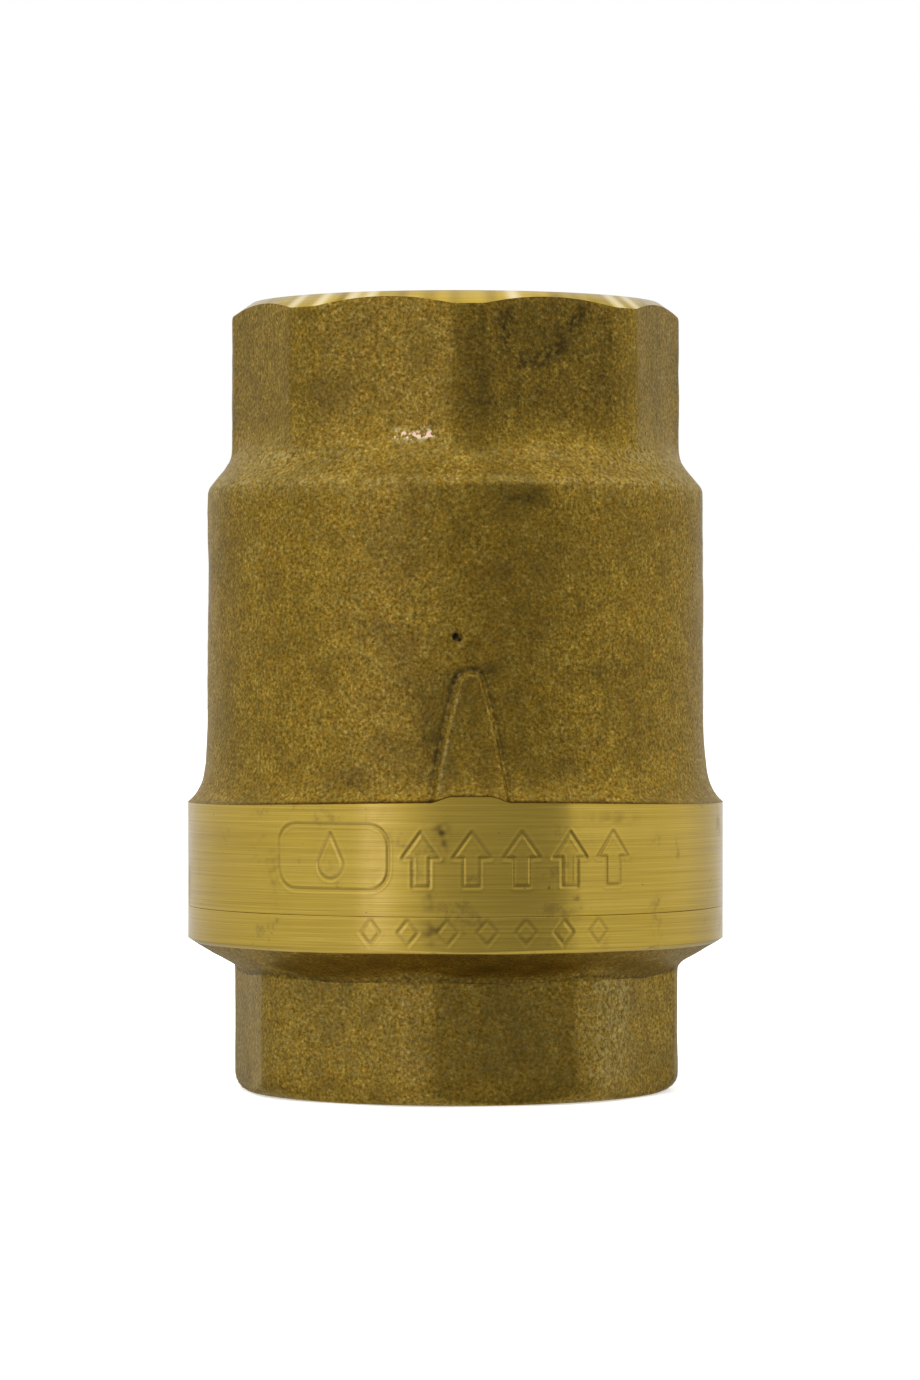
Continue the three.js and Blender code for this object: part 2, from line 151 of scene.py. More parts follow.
def bell(value, middle, width):
    """1 at the middle, fading to 0 on both sides."""
    return np.exp(-(((value - middle) / width) ** 2))


def unevenness(angle, radius, height, wavelength, seed):
    """Smooth random waves in space, about 1 high."""
    rng = np.random.default_rng(seed)
    x, y = radius * np.sin(angle), -radius * np.cos(angle)
    waves = 16
    total = 0
    for _ in range(waves):
        direction = rng.normal(size=3)
        direction *= FULL_TURN / wavelength / np.linalg.norm(direction) * rng.uniform(0.7, 1.4)
        phase = rng.uniform(0, FULL_TURN)
        total = total + np.cos(direction[0] * x + direction[1] * y + direction[2] * height + phase)
    return total / math.sqrt(waves / 2)


def polygon_r(angle, sides, flat_r, corner_r, blend=0.05):
    """The radius of a prism with flat sides and turned corners, in the direction of an angle."""
    half = math.pi / sides
    return smooth_min(flat_r / np.cos(angle % (2 * half) - half), np.full_like(angle, corner_r), blend)


def unit(vectors):
    return vectors / np.linalg.norm(vectors, axis=-1, keepdims=True)


def rounded(corners, arc_steps=4):
    """A closed outline of (radius, z, rounding) with its corners rounded, as points of (radius, z)."""
    points = []
    for i, (r, z, rounding) in enumerate(corners):
        here = np.array([r, z])
        if rounding == 0:
            points.append(here)
            continue
        back, ahead = (unit(np.array(corners[k % len(corners)][:2]) - here) for k in (i - 1, i + 1))
        half = math.acos(np.clip(back @ ahead, -1, 1)) / 2
        start, end = (here + way * rounding / math.tan(half) for way in (back, ahead))
        centre = here + unit(back + ahead) * rounding / math.sin(half)
        for share in np.linspace(0, 1, arc_steps + 1):
            spoke = (start - centre) * (1 - share) + (end - centre) * share
            points.append(centre + unit(spoke) * rounding)
    return points


def zip_rings(first, first_angles, second, second_angles):
    """Triangles between two rings that may have different numbers of points."""
    n, m = len(first_angles), len(second_angles)
    first_next = np.append(first_angles[1:], first_angles[0] + FULL_TURN)
    second_next = np.append(second_angles[1:], second_angles[0] + FULL_TURN)
    faces = []
    i = j = 0
    while i < n or j < m:
        a, b = first + i % n, second + j % m
        if i < n and (j >= m or first_next[i] <= second_next[j]):
            faces.append((a, first + (i + 1) % n, b))
            i += 1
        else:
            faces.append((a, second + (j + 1) % m, b))
            j += 1
    return faces


def placed(name, data):
    """A new object in the scene."""
    made = bpy.data.objects.new(name, data)
    bpy.context.scene.collection.objects.link(made)
    return made


def smooth_shade(mesh, sharp):
    """Smooth shading, but for edges sharper than an angle in degrees."""
    mesh.polygons.foreach_set("use_smooth", [True] * len(mesh.polygons))
    mesh.set_sharp_from_angle(angle=math.radians(sharp))


def make_piece(name, points, faces, finishes=None, marks=None, sharp=35):
    """A mesh object from points in millimetres."""
    mesh = bpy.data.meshes.new(name)
    mesh.from_pydata((np.asarray(points) * MM).tolist(), [], faces)
    if finishes is not None:
        mesh.polygons.foreach_set("material_index", finishes)
    if marks is not None:
        layer = mesh.attributes.new("mark", "FLOAT", "POINT")
        layer.data.foreach_set("value", np.asarray(marks, dtype=np.float32))
    smooth_shade(mesh, sharp)
    mesh.update()
    return placed(name, mesh)


class Shell:
    """A closed surface made of rings of points round the axis, each ring joined to the next."""

    def __init__(self):
        self.points = []
        self.marks = []
        self.faces = []
        self.finishes = []
        self.count = 0
        self.first = None
        self.last = None

    def zone(self, angles, radii, heights, finish, join=None, marks=None):
        """Adds rows of points, each once round. join is the finish of the strip before them. Marks above 0
        darken the surface, as stains and grime and in places as painted shade, and marks below 0 brighten it,
        as rubbed metal and in places as painted highlights."""
        rows, columns = np.broadcast_shapes(np.shape(radii), np.shape(heights), (1, len(angles)))
        angle = np.broadcast_to(angles, (rows, columns))
        r = np.broadcast_to(radii, (rows, columns))
        z = np.broadcast_to(heights, (rows, columns))
        self.points.append(np.stack([r * np.sin(angle), -r * np.cos(angle), z], axis=-1).reshape(-1, 3))
        self.marks.append(np.zeros(rows * columns) if marks is None else np.ravel(marks))
        if self.last is None:
            self.first = (0, angles)
        else:
            self.join(*self.last, self.count, angles, finish if join is None else join)
        column = np.arange(columns)
        beside = (column + 1) % columns
        for row in range(rows - 1):
            here = self.count + row * columns
            quads = [here + column, here + beside, here + columns + beside, here + columns + column]
            self.faces.extend(map(tuple, np.stack(quads, 1).tolist()))
            self.finishes.extend([finish] * columns)
        self.count += rows * columns
        self.last = (self.count - columns, angles)

    def profile(self, angles, outline, finish):
        """Adds one ring of points for each (radius, z) of an outline. Both may change round the ring."""
        for place in outline:
            r, z = (np.reshape(value, (1, -1)) for value in place)
            self.zone(angles, r, z, finish)

    def join(self, first, first_angles, second, second_angles, finish):
        if len(first_angles) == len(second_angles) and np.allclose(first_angles, second_angles):
            n = len(first_angles)
            made = [(first + i, first + (i + 1) % n, second + (i + 1) % n, second + i) for i in range(n)]
        else:
            made = zip_rings(first, first_angles, second, second_angles)
        self.faces.extend(made)
        self.finishes.extend([finish] * len(made))

    def cap_ends(self, first_height, last_height, finish):
        """Closes the first and the last ring with fans round points on the axis."""
        for (start, angles), height, ahead in ((self.first, first_height, 0), (self.last, last_height, 1)):
            self.points.append(np.array([[0, 0, height]]))
            self.marks.append(np.zeros(1))
            n = len(angles)
            for i in range(n):
                self.faces.append((start + (i + 1 - ahead) % n, start + (i + ahead) % n, self.count))
            self.finishes.extend([finish] * n)
            self.count += 1

    def close(self, finish):
        self.join(*self.last, *self.first, finish)

    def make(self, name, turn=0.0, sharp=35):
        points = np.concatenate(self.points)
        if turn:
            c, s = math.cos(turn), math.sin(turn)
            points = points @ np.array([[c, s, 0], [-s, c, 0], [0, 0, 1]])
        return make_piece(name, points, self.faces, self.finishes, np.concatenate(self.marks), sharp)


def turned_piece(name, corners, columns):
    """A turned or moulded ring. Its section is a closed outline, anticlockwise with the radius rightwards."""
    shell = Shell()
    shell.profile(all_round(columns), rounded(corners), CAST)
    shell.close(CAST)
    return shell.make(name)


def swept_piece(name, rings, sharp=35):
    """A solid through a row of rings of points, closed at both ends."""
    count = len(rings[0])
    last = (len(rings) - 1) * count
    faces = []
    for start in range(0, last, count):
        for j in range(count):
            k = (j + 1) % count
            faces.append((start + j, start + count + j, start + count + k, start + k))
    faces.append(tuple(range(count)))
    faces.append(tuple(reversed(range(last, last + count))))
    return make_piece(name, np.concatenate(rings), faces, sharp=sharp)


# ---- The castings' surfaces ----


def columns_with(fine_from, fine_to, fine, coarse):
    """Angles all round, with a finer stretch between two of them. Angles and spacings are in degrees."""
    low, high = math.radians(fine_from), math.radians(fine_to)
    return np.concatenate([
        steps(-math.pi, low, math.radians(coarse)),
        steps(low, high, math.radians(fine)),
        steps(high, math.pi, math.radians(coarse)),
    ])


def octagon_columns():
    """Angles all round that fall on the edges of the octagon's flats, a little closer on its corners."""
    corner = math.acos(FLAT_R / CORNER_R)
    half = math.pi / 8
    octant = np.concatenate([
        steps(-half, -corner, math.radians(1.05)),
        steps(-corner, corner, math.radians(1.0)),
        steps(corner, half, math.radians(1.05)),
    ])
    return repeated_round(octant + half, 8)


def thread_wave(height, angle, pitch, keenness):
    """A right-hand thread's profile, from -1 to 1. A keenness of 1 would give it sharp crests and roots."""
    return np.arcsin(keenness * np.sin(FULL_TURN * height / pitch - angle)) / math.asin(keenness)


def port_rows(face_z, inwards):
    """Rows of a threaded port, from its mouth to the end of its relief groove. inwards is 1 or -1 along z."""
    columns = all_round(END_COLUMNS)
    groove_from = THREAD_LENGTH - RELIEF_LENGTH
    depth = np.concatenate([[0.0], steps(0.06, groove_from, 0.115), [groove_from]])[:, None]
    height = face_z + inwards * depth
    thread_depth = ROOT_R - CREST_R
    thread = (CREST_R + ROOT_R + thread_depth * thread_wave(height, columns, THREAD_PITCH, 0.93)) / 2
    run_out = smooth_step(depth, groove_from - 1.0, groove_from - 0.2)
    cut = thread * (1 - run_out) + RELIEF_R * run_out
    return columns, smooth_max(cut, MOUTH_R - depth, 0.06), height


def barrel_r(height):
    """The cast barrel's radius above the band's edge, before its unevenness: it flares out to the band."""
    above = np.maximum(height - BAND_HIGH_Z, 0)
    flares = ((1.25, 1.0), (0.28, 4.0))  # width and reach
    return BODY_R + sum(width * np.exp(-above / reach) for width, reach in flares)


def shoulder_row(share):
    """The outline of the round above the barrel, and of the slope above it, for 0 to 1 along both."""
    round_r, round_share = 0.95, 0.45
    slope = math.radians(40)
    turn = np.minimum(share / round_share, 1) * slope
    along = np.maximum(share - round_share, 0) / (1 - round_share)
    start_r = BODY_R - round_r + round_r * math.cos(slope)
    start_z = SHOULDER_Z + round_r * math.sin(slope)
    on_round = share < round_share
    r = np.where(on_round, BODY_R - round_r + round_r * np.cos(turn), start_r + (NECK_R - start_r) * along)
    z = np.where(on_round, SHOULDER_Z + round_r * np.sin(turn), start_z + (NECK_Z - start_z) * along)
    return r, z


def neck_r(height):
    """The hollow from the shoulder's slope up to the octagon, which hides its upper end."""
    inner_r, reach = 15.2, 2.53
    return inner_r + (NECK_R - inner_r) * np.exp((NECK_Z - height) / reach)


def cast_roughness(angle, radius, height):
    """The casting's own unevenness, in millimetres."""
    waves = ((0.018, 7.0), (0.010, 2.6), (0.006, 1.1))  # height and wavelength
    return sum(size * unevenness(angle, radius, height, wave, i + 1) for i, (size, wave) in enumerate(waves))


def distance_to_lines(x, y, lines):
    """Each point's distance to the nearest of some polylines."""
    best = np.full(np.shape(x), np.inf)
    for line in lines:
        for (x0, y0), (x1, y1) in zip(line[:-1], line[1:]):
            dx, dy = x1 - x0, y1 - y0
            share = np.clip(((x - x0) * dx + (y - y0) * dy) / (dx * dx + dy * dy), 0, 1)
            best = np.minimum(best, np.hypot(x - x0 - share * dx, y - y0 - share * dy))
    return best


# The flow tongue on the front of the barrel: a low pad with a round tip and sides that bend outwards.
TONGUE_TIP_Z = 31.6
TONGUE_TIP_R = 1.05
TONGUE_BEND = (2.3, 26.6)  # half width and height
TONGUE_FOOT = (3.05, 19.7)
TONGUE_RAISED = 0.34
TONGUE_FLANK = (-0.1, 0.42)  # its slope, from and to these distances inside the outline
TONGUE_RIDGE = (0.48, 0.22)  # the worn ridge along its edge: place inside the outline, and width
TONGUE_FOOT_LINE = (-0.1, 0.15)  # the groove outside it
TONGUE_DIRT = (-0.08, 0.24)


def tongue_outline():
    """Half of the tongue's outline as points of (distance from its middle line, z), from the tip down."""
    centre_z = TONGUE_TIP_Z - TONGUE_TIP_R
    turn = np.linspace(math.pi / 2, 0, 9)
    tip = np.stack([TONGUE_TIP_R * np.cos(turn), centre_z + TONGUE_TIP_R * np.sin(turn)], axis=1)
    t = np.linspace(0.05, 1, 20)[:, None]
    a, b, c = np.array([(TONGUE_TIP_R, centre_z), TONGUE_BEND, TONGUE_FOOT])
    side = (1 - t) ** 2 * a + 2 * t * (1 - t) * b + t**2 * c
    return np.concatenate([tip, side])


def tongue_depth(angle, height):
    """How far a point is inside the tongue's outline, in millimetres, and below 0 outside it."""
    far = 5.0
    x = np.abs(BODY_R * angle)
    outline = tongue_outline()
    near = (x < far) & (height < TONGUE_TIP_Z + 2)
    depth = np.full(np.shape(x), -far)
    width = np.interp(-height, -outline[:, 1], outline[:, 0], left=0, right=TONGUE_FOOT[0])
    inside = np.where((x < width) & (height < TONGUE_TIP_Z), 1, -1)
    depth[near] = distance_to_lines(x[near], height[near], [outline]) * inside[near]
    return depth


def band_top(angle):
    """The height of the band's upper edge: the turning tool left it a little higher at the front, and highest
    where it cut into the tongue's foot."""
    rise = 0.42
    base = BAND_HIGH_Z + rise * np.maximum(np.cos(angle), -0.3) ** 3
    on_tongue = smooth_step(tongue_depth(angle, np.full_like(angle, BAND_HIGH_Z + 0.28)), 0.0, 1.5)
    return base + rise * on_tongue


PIT_X, PIT_Z, PIT_R = -0.9, 34.0, 0.34  # a pinhole in the casting, above the tongue's tip

# Smudges on the cast barrel, as (angle in degrees, height, half width, half height, darkness or, below 0,
# brightness).
SMUDGES = [
    (-55, 40.4, 0.8, 0.35, -0.30), (9, 44.2, 0.7, 0.25, 0.55), (13, 43.9, 0.9, 0.3, 0.65),
    (17, 43.7, 0.5, 0.4, 0.40), (-9, 26.6, 0.9, 1.5, 0.40), (-13, 30.6, 1.6, 1.6, 0.28),
    (-5, 31.0, 0.9, 0.8, 0.35), (4, 31.8, 1.0, 0.5, 0.40), (-26, 23.7, 2.2, 0.8, 0.40),
    (-20, 34.4, 2.4, 0.9, 0.24), (33, 31.6, 2.6, 0.7, 0.34), (49, 31.4, 1.0, 0.6, 0.30),
    (22, 25.5, 1.6, 1.8, 0.16), (120, 36.0, 3.0, 1.5, 0.22), (165, 28.0, 2.5, 2.0, 0.25),
    (-140, 33.0, 2.0, 2.5, 0.20),
]

# Stains on the band, as (distance round it from the front, height, half width, half height, strength).
STAINS = [
    (-2.1, 20.1, 0.55, 0.5, 2.6), (-2.0, 18.8, 0.3, 0.8, 1.7), (-3.0, 15.2, 0.4, 0.8, 1.4),
    (-2.9, 12.9, 0.55, 0.9, 2.4), (7.9, 15.2, 0.22, 0.16, 3.2), (-15.5, 17.0, 0.5, 1.6, 0.8),
    (-17.5, 21.2, 1.4, 0.2, 1.8), (11.0, 20.8, 2.4, 0.25, 1.0),
]

# Stains and nicks on the outlet's octagon, as lines of (distance round it from the front, height).
STREAKS = [
    [(8.7, 57.6), (7.5, 56.4), (6.8, 54.9), (5.1, 54.0), (3.7, 54.1)],
    [(2.7, 57.3), (2.7, 55.2)],
]
NICKS = [[(-5.2, 48.75), (-3.9, 48.6), (-2.6, 48.75)]]

# Where painted glints brighten the outlet's chamfer, in degrees round the valve.
GLINTS = (-160, -84, -49, -40, -31, -26, 12, 43, 50, 140)


def blots(across, height, table):
    """Soft spots of (place across, height, half width, half height, strength), added up."""
    return sum(
        strength * bell(across, x, half_width) * bell(height, z, half_height)
        for x, z, half_width, half_height, strength in table
    )


def smudges(angle, height):
    table = [(BODY_R * math.radians(degrees), *rest) for degrees, *rest in SMUDGES]
    return blots(BODY_R * angle, height, table)


def stains(angle, height):
    uneven = np.clip(0.75 + 0.5 * unevenness(angle, BAND_R, height, 0.8, 6), 0, 2)
    return blots(BAND_R * angle, height, STAINS) * uneven


# ---- Stamping ----

# What is stamped on the band: a rounded frame with a drop in it, arrows that point along the flow, and
# lozenges. Places are distances round the band from the front, and heights.
BADGE_X, BADGE_Z = -10.5, 18.15
BADGE_HALF_SIZE = (4.5, 2.35)
BADGE_CORNER = 1.5
DROP_R = 1.25
ARROWS = {"first": -3.6, "apart": 3.65, "count": 5, "half_size": (1.35, 1.95)}
LOZENGES = {"first": -7.4, "apart": 2.85, "count": 7, "half_size": (0.75, 0.9)}
LOZENGE_Z = 12.8
STAMP_DEPTH = 0.04
STAMP_LINE = (0, 0.1)  # place beside the line's middle, and half width
STAMP_LIP = 0.012  # the height of the lips that the stamp raised along its lines
STAMP_LIP_LINE = (0.22, 0.08)


def circle_arc(x, z, radius, start, end, count):
    turn = np.radians(np.linspace(start, end, count))
    return [(x + radius * math.cos(a), z + radius * math.sin(a)) for a in turn]


def rounded_frame(x, z, half_x, half_z, corner):
    points = []
    for side_x, side_z, start in ((1, 1, 0), (-1, 1, 90), (-1, -1, 180), (1, -1, 270)):
        centre_x = x + side_x * (half_x - corner)
        centre_z = z + side_z * (half_z - corner)
        points += circle_arc(centre_x, centre_z, corner, start, start + 90, 6)
    return points + points[:1]


def drop(x, z, r):
    tip = (x, z + 1.5 * r)
    return [tip] + circle_arc(x, z - 0.35 * r, 0.8 * r, 150, 390, 16) + [tip]


def block_arrow(x, z, half_width, half_height):
    shaft = half_width * 0.45
    neck = z + half_height * 0.05
    right = [(shaft, z - half_height), (shaft, neck), (half_width, neck), (0, z + half_height)]
    left = [(-a, b) for a, b in reversed(right[:-1])]
    return [(x + a, b) for a, b in right + left + right[:1]]


def lozenge(x, z, half_width, half_height):
    corners = ((1, 0), (0, 1), (-1, 0), (0, -1), (1, 0))
    return [(x + a * half_width, z + b * half_height) for a, b in corners]


def in_a_row(shape, row, z):
    """The same figure several times, side by side."""
    return [shape(row["first"] + row["apart"] * i, z, *row["half_size"]) for i in range(row["count"])]


def body_stamping():
    frame_line = rounded_frame(BADGE_X, BADGE_Z, *BADGE_HALF_SIZE, BADGE_CORNER)
    drop_line = drop(BADGE_X, BADGE_Z - 0.15, DROP_R)
    return [frame_line, drop_line] + in_a_row(block_arrow, ARROWS, BADGE_Z - 0.1)


def cap_stamping():
    return in_a_row(lozenge, LOZENGES, LOZENGE_Z)


def add_stamped_band(shell, columns, heights, lines, turn=0.0, strength=1.0):
    """Rows of the turned band with stamped lines. turn is the angle by which the piece is turned later."""
    angle, height = np.broadcast_arrays(columns + turn, heights[:, None])
    away = distance_to_lines(BAND_R * angle, height, lines)
    groove = bell(away, *STAMP_LINE)
    depth = strength * (STAMP_DEPTH * groove - STAMP_LIP * bell(away, *STAMP_LIP_LINE))
    shell.zone(columns, BAND_R - depth, height, TURNED, marks=groove + stains(angle, height))


# ---- The body ----

CHAMFER_DROP = 1.03
RIM_R = CORNER_R - 1.45  # of the outlet's face
NECK_BLEND = 0.34
FLAT_ROUGHNESS = 0.8  # the octagons' share of the casting's unevenness
LIFTED = 80  # moves the cap's unevenness to another place in the random waves than the body's


def add_body_band(shell):
    """The skirt's foot and the turned band."""
    columns = columns_with(-46, 40, 0.26, 1.6)
    stamp_low_z, stamp_high_z = 15.5, 20.85
    shell.profile(all_round(INNER_COLUMNS), [(SKIRT_R, JOINT_HIGH_Z)], TURNED)
    shell.profile(columns, [
        (BAND_R - EDGE, JOINT_HIGH_Z), (BAND_R, JOINT_HIGH_Z + EDGE), (BAND_R, JOINT_HIGH_Z + 2 * EDGE),
        (BAND_R, JOINT_HIGH_Z + 0.2),
    ], TURNED)
    below = steps(14.6, stamp_low_z, 0.3)
    heights = np.concatenate([below, steps(stamp_low_z, stamp_high_z, 0.095), [stamp_high_z]])
    add_stamped_band(shell, columns, heights, body_stamping())
    edge_z = band_top(columns)
    shell.profile(columns, [(BAND_R, edge_z - below_edge) for below_edge in (0.35, 0.1, 0.03)], TURNED)


def add_barrel(shell, columns):
    """The cast barrel, with its flare above the band, the flow tongue and a pinhole."""
    whole = SHOULDER_Z - BAND_HIGH_Z
    spans = [  # from, to and spacing of the rows: closer by the band, the tongue's tip and the pinhole
        (0.03, 2.2, 0.2), (2.2, 8.4, 0.42), (8.4, 10.4, 0.14), (10.4, 11.5, 0.36), (11.5, 12.7, 0.12),
        (12.7, whole - 0.3, 0.55),
    ]
    above = np.concatenate([[0.0]] + [steps(*span) for span in spans])[:, None]
    edge_z = band_top(columns)
    height = edge_z + above / whole * (SHOULDER_Z - edge_z)
    angle = np.broadcast_to(columns, height.shape)

    within = tongue_depth(angle, height)
    ridge = bell(within, *TONGUE_RIDGE)
    pit = np.hypot(BODY_R * angle - PIT_X, height - PIT_Z) / PIT_R
    pit_depth, ridge_height = 0.3, 0.05
    r = barrel_r(height) + TONGUE_RAISED * smooth_step(within, *TONGUE_FLANK)
    r += ridge_height * (ridge - bell(within, *TONGUE_FOOT_LINE)) - pit_depth * np.exp(-(pit**4))
    r += cast_roughness(angle, BODY_R, height) * smooth_step(above, 0.0, 0.8)
    r[0] = BAND_R

    foot_dirt = 0.46 + 0.12 * smooth_step(height, TONGUE_TIP_Z - 1, TONGUE_TIP_Z)
    # The bright ridge along the tongue's edge is rubbed metal with a painted highlight, brighter on the left.
    ridge_wear_and_highlight = 0.12 - 0.10 * np.sign(angle)  # more on the left
    # The first number darkens the pinhole and its rim; the second the strip along the band's edge.
    pit_darkness, edge_dirt = 1.3, 0.35
    darkening = foot_dirt * bell(within, *TONGUE_DIRT) - ridge_wear_and_highlight * ridge + smudges(angle, height)
    darkening += pit_darkness * np.exp(-((pit / 1.15) ** 4)) + edge_dirt * bell(above, 0, 0.16)
    shell.zone(columns, np.minimum(r, BAND_R), height, CAST, marks=darkening)


def add_shoulder(shell, columns):
    """The round and the slope above the barrel, with painted highlights at the sides and along the round."""
    share = np.array([0, 0.11, 0.22, 0.33, 0.45, 0.6, 0.75, 0.9])[:, None]
    r, z = shoulder_row(share)
    angle = np.broadcast_to(columns, (len(share), len(columns)))
    # Painted highlights: brighter towards the sides and along a line on the round.
    wear_and_highlight = 0.01 + 0.17 * np.sin(angle) ** 2 + 0.12 * bell(z, SHOULDER_Z + 0.5, 0.25)
    shell.zone(columns, r + cast_roughness(angle, BODY_R, z), z, CAST, marks=-wear_and_highlight)


def outlet_marks(angle, flats, height):
    """Marks on the outlet's octagon: above 0 stains, a darkening upwards and painted shade; below 0 nicks
    and painted highlights.
    """
    streak = distance_to_lines(FLAT_R * angle, height, STREAKS)
    nick = distance_to_lines(FLAT_R * angle, height, NICKS)
    # Painted shade on the flats right of the front; all round, a darkening from 48.5 mm up.
    right_flats_shade = window(angle, -0.03, 0.0, 0.68, 0.82)
    marks = 0.15 * smooth_step(height, 48.5, 51) + 0.20 * right_flats_shade * smooth_step(height, 47.5, 51)
    marks += 0.34 * bell(streak, 0, 0.6) - 1.9 * bell(nick, 0, 0.26)
    # Painted highlight along the foot of the octagon, stronger towards the sides.
    marks -= (0.06 + 0.14 * np.sin(angle) ** 2) * bell(height, NECK_Z + 0.4, 0.8)
    # Painted sheen on the outer parts of the side flats that face the front.
    beside = np.abs(flats * np.sin(angle))
    on_front = np.abs(angle) < 1.2
    return marks - 0.10 * window(beside, 11.9, 12.1, 14.1, 14.4) * on_front


def add_outlet_octagon(shell, columns):
    """The neck and the octagon, and its turned chamfer, tarnished in places and with painted glints."""
    flats = polygon_r(columns, 8, FLAT_R, CORNER_R)
    chamfer_z = LENGTH - CHAMFER_DROP * (flats - RIM_R) / (CORNER_R - RIM_R)
    share = np.concatenate([steps(0, 0.3, 0.03), steps(0.3, 0.985, 0.03), [0.985, 1]])[:, None]
    height = NECK_Z + share * (chamfer_z - NECK_Z)
    angle = np.broadcast_to(columns, height.shape)
    wall = flats + FLAT_ROUGHNESS * cast_roughness(angle, FLAT_R, height) * (1 - share**8)
    neck = neck_r(height) + cast_roughness(angle, BODY_R, height) * (1 - share)
    r = smooth_max(wall, neck, NECK_BLEND)
    r[-1] = flats - 0.02
    shell.zone(columns, r, height, CAST, marks=outlet_marks(angle, flats, height))

    share = np.array([0.02, 0.5, 0.97])[:, None]  # of the chamfer's width
    # Painted glints at the listed angles, and tarnish elsewhere on the chamfer.
    glints = sum(bell(columns, math.radians(place), 0.03) for place in GLINTS)
    tarnish = np.clip(0.75 + 0.5 * unevenness(columns, CORNER_R, LENGTH, 1.6, 5), 0, 1.6)
    marks = np.broadcast_to(np.where(glints > 0.1, -0.7 * glints, tarnish), (len(share), len(columns)))
    r = flats + (RIM_R - flats) * share
    shell.zone(columns, r, chamfer_z + (LENGTH - chamfer_z) * share, TURNED, marks=marks)


def make_body():
    shell = Shell()
    cast = columns_with(-11, 11, 0.3, 0.86)
    add_body_band(shell)
    add_barrel(shell, cast)
    add_shoulder(shell, cast)
    add_outlet_octagon(shell, octagon_columns())
    shell.profile(all_round(END_COLUMNS), [(RIM_R - 0.06, LENGTH), (FACE_INNER_R, LENGTH)], TURNED)
    shell.zone(*port_rows(LENGTH, -1), TURNED)

    # The relief groove, the throat, the cavity and the skirt's bore.
    groove_low_z = LENGTH - THREAD_LENGTH
    shell.profile(all_round(INNER_COLUMNS), [
        (RELIEF_R, groove_low_z + 0.2), (RELIEF_R - 0.2, groove_low_z), (THROAT_R + 0.15, groove_low_z),
        (THROAT_R, groove_low_z - 0.15), (THROAT_R, THROAT_LOW_Z), (THROAT_R + 2.4, CAVITY_TOP_Z),
        (CAVITY_R - 0.1, CAVITY_TOP_Z), (CAVITY_R, CAVITY_TOP_Z - 0.1), (CAVITY_R, SPIGOT_TOP_Z + 1.2),
        (SKIRT_R, SPIGOT_TOP_Z + 0.3), (SKIRT_R, JOINT_HIGH_Z + 3),
    ], TURNED)
    shell.close(TURNED)
    return shell.make("body_casting", sharp=60)


# ---- The end cap ----


def add_inlet_octagon(shell, columns, flats):
    """The octagon, with its rounded lower edge."""
    round_r = 1.35
    turn = np.radians([-88, -75, -60, -45, -30, -15, 0])[:, None]
    top_z = CAP_NECK_Z - 0.7
    rise = np.concatenate([steps(round_r + 0.35, top_z, 0.5), [top_z]])[:, None]
    height = np.concatenate([round_r + round_r * np.sin(turn), rise])
    envelope = np.concatenate([CORNER_R - round_r + round_r * np.cos(turn), np.full_like(rise, CORNER_R)])
    angle = np.broadcast_to(columns, (len(height), len(columns)))
    bumps = cast_roughness(angle, FLAT_R, height + LIFTED) * smooth_step(height, 0.1, 2.0)
    right_flat_highlight = window(angle, 0.5 - CAP_TURN, 0.65 - CAP_TURN, 1.0, 1.2)
    # Painted shade on the rounded lower edge, a slight brightening all round, and a painted highlight on the
    # flat right of the front.
    marks = 0.16 * (1 - smooth_step(height, 0.6, 2.4)) - 0.05 - 0.17 * right_flat_highlight
    wall = smooth_min(flats, envelope, 0.06) + FLAT_ROUGHNESS * bumps
    shell.zone(columns, wall, height, CAST, join=TURNED, marks=marks)


def add_collar_underside(shell, columns, flats):
    """The fillet between the octagon and the collar, and the sloping underside of the collar."""
    slope = (BAND_LOW_Z - CAP_NECK_Z) / (BAND_R - CORNER_R)
    reach, fillet = 4.1, 0.32
    out = np.concatenate([[0.0, 0.12, 0.3, 0.6], steps(1.0, reach, 0.4)])[:, None]
    r = flats + out * (BAND_R - 0.05 - flats) / reach
    z = CAP_NECK_Z + slope * (r - CORNER_R) - fillet * np.exp(-out / 0.3)
    angle = np.broadcast_to(columns, r.shape)
    z += cast_roughness(angle, r, z + LIFTED) * window(out, 0, 0.8, reach - 1.0, reach - 0.2)
    # Painted shade in the corner where the underside meets the octagon.
    darkening = np.broadcast_to(0.5 * bell(out, 0, 0.3), r.shape)
    shell.zone(columns, r, z, CAST, marks=darkening)


def add_cap_band(shell):
    """The lower part of the turned band, up to the joint."""
    columns = columns_with(-14, 46, 0.34, 1.6)
    low_edge = 0.05
    shell.profile(columns, [(BAND_R, BAND_LOW_Z + low_edge), (BAND_R, BAND_LOW_Z + 2 * low_edge)], TURNED)
    add_stamped_band(shell, columns, steps(11.75, 13.75, 0.11), cap_stamping(), turn=CAP_TURN, strength=0.6)
    shell.profile(columns, [
        (BAND_R, JOINT_LOW_Z - 2 * EDGE),
        (BAND_R, JOINT_LOW_Z - EDGE),
        (BAND_R - EDGE, JOINT_LOW_Z),
    ], TURNED)


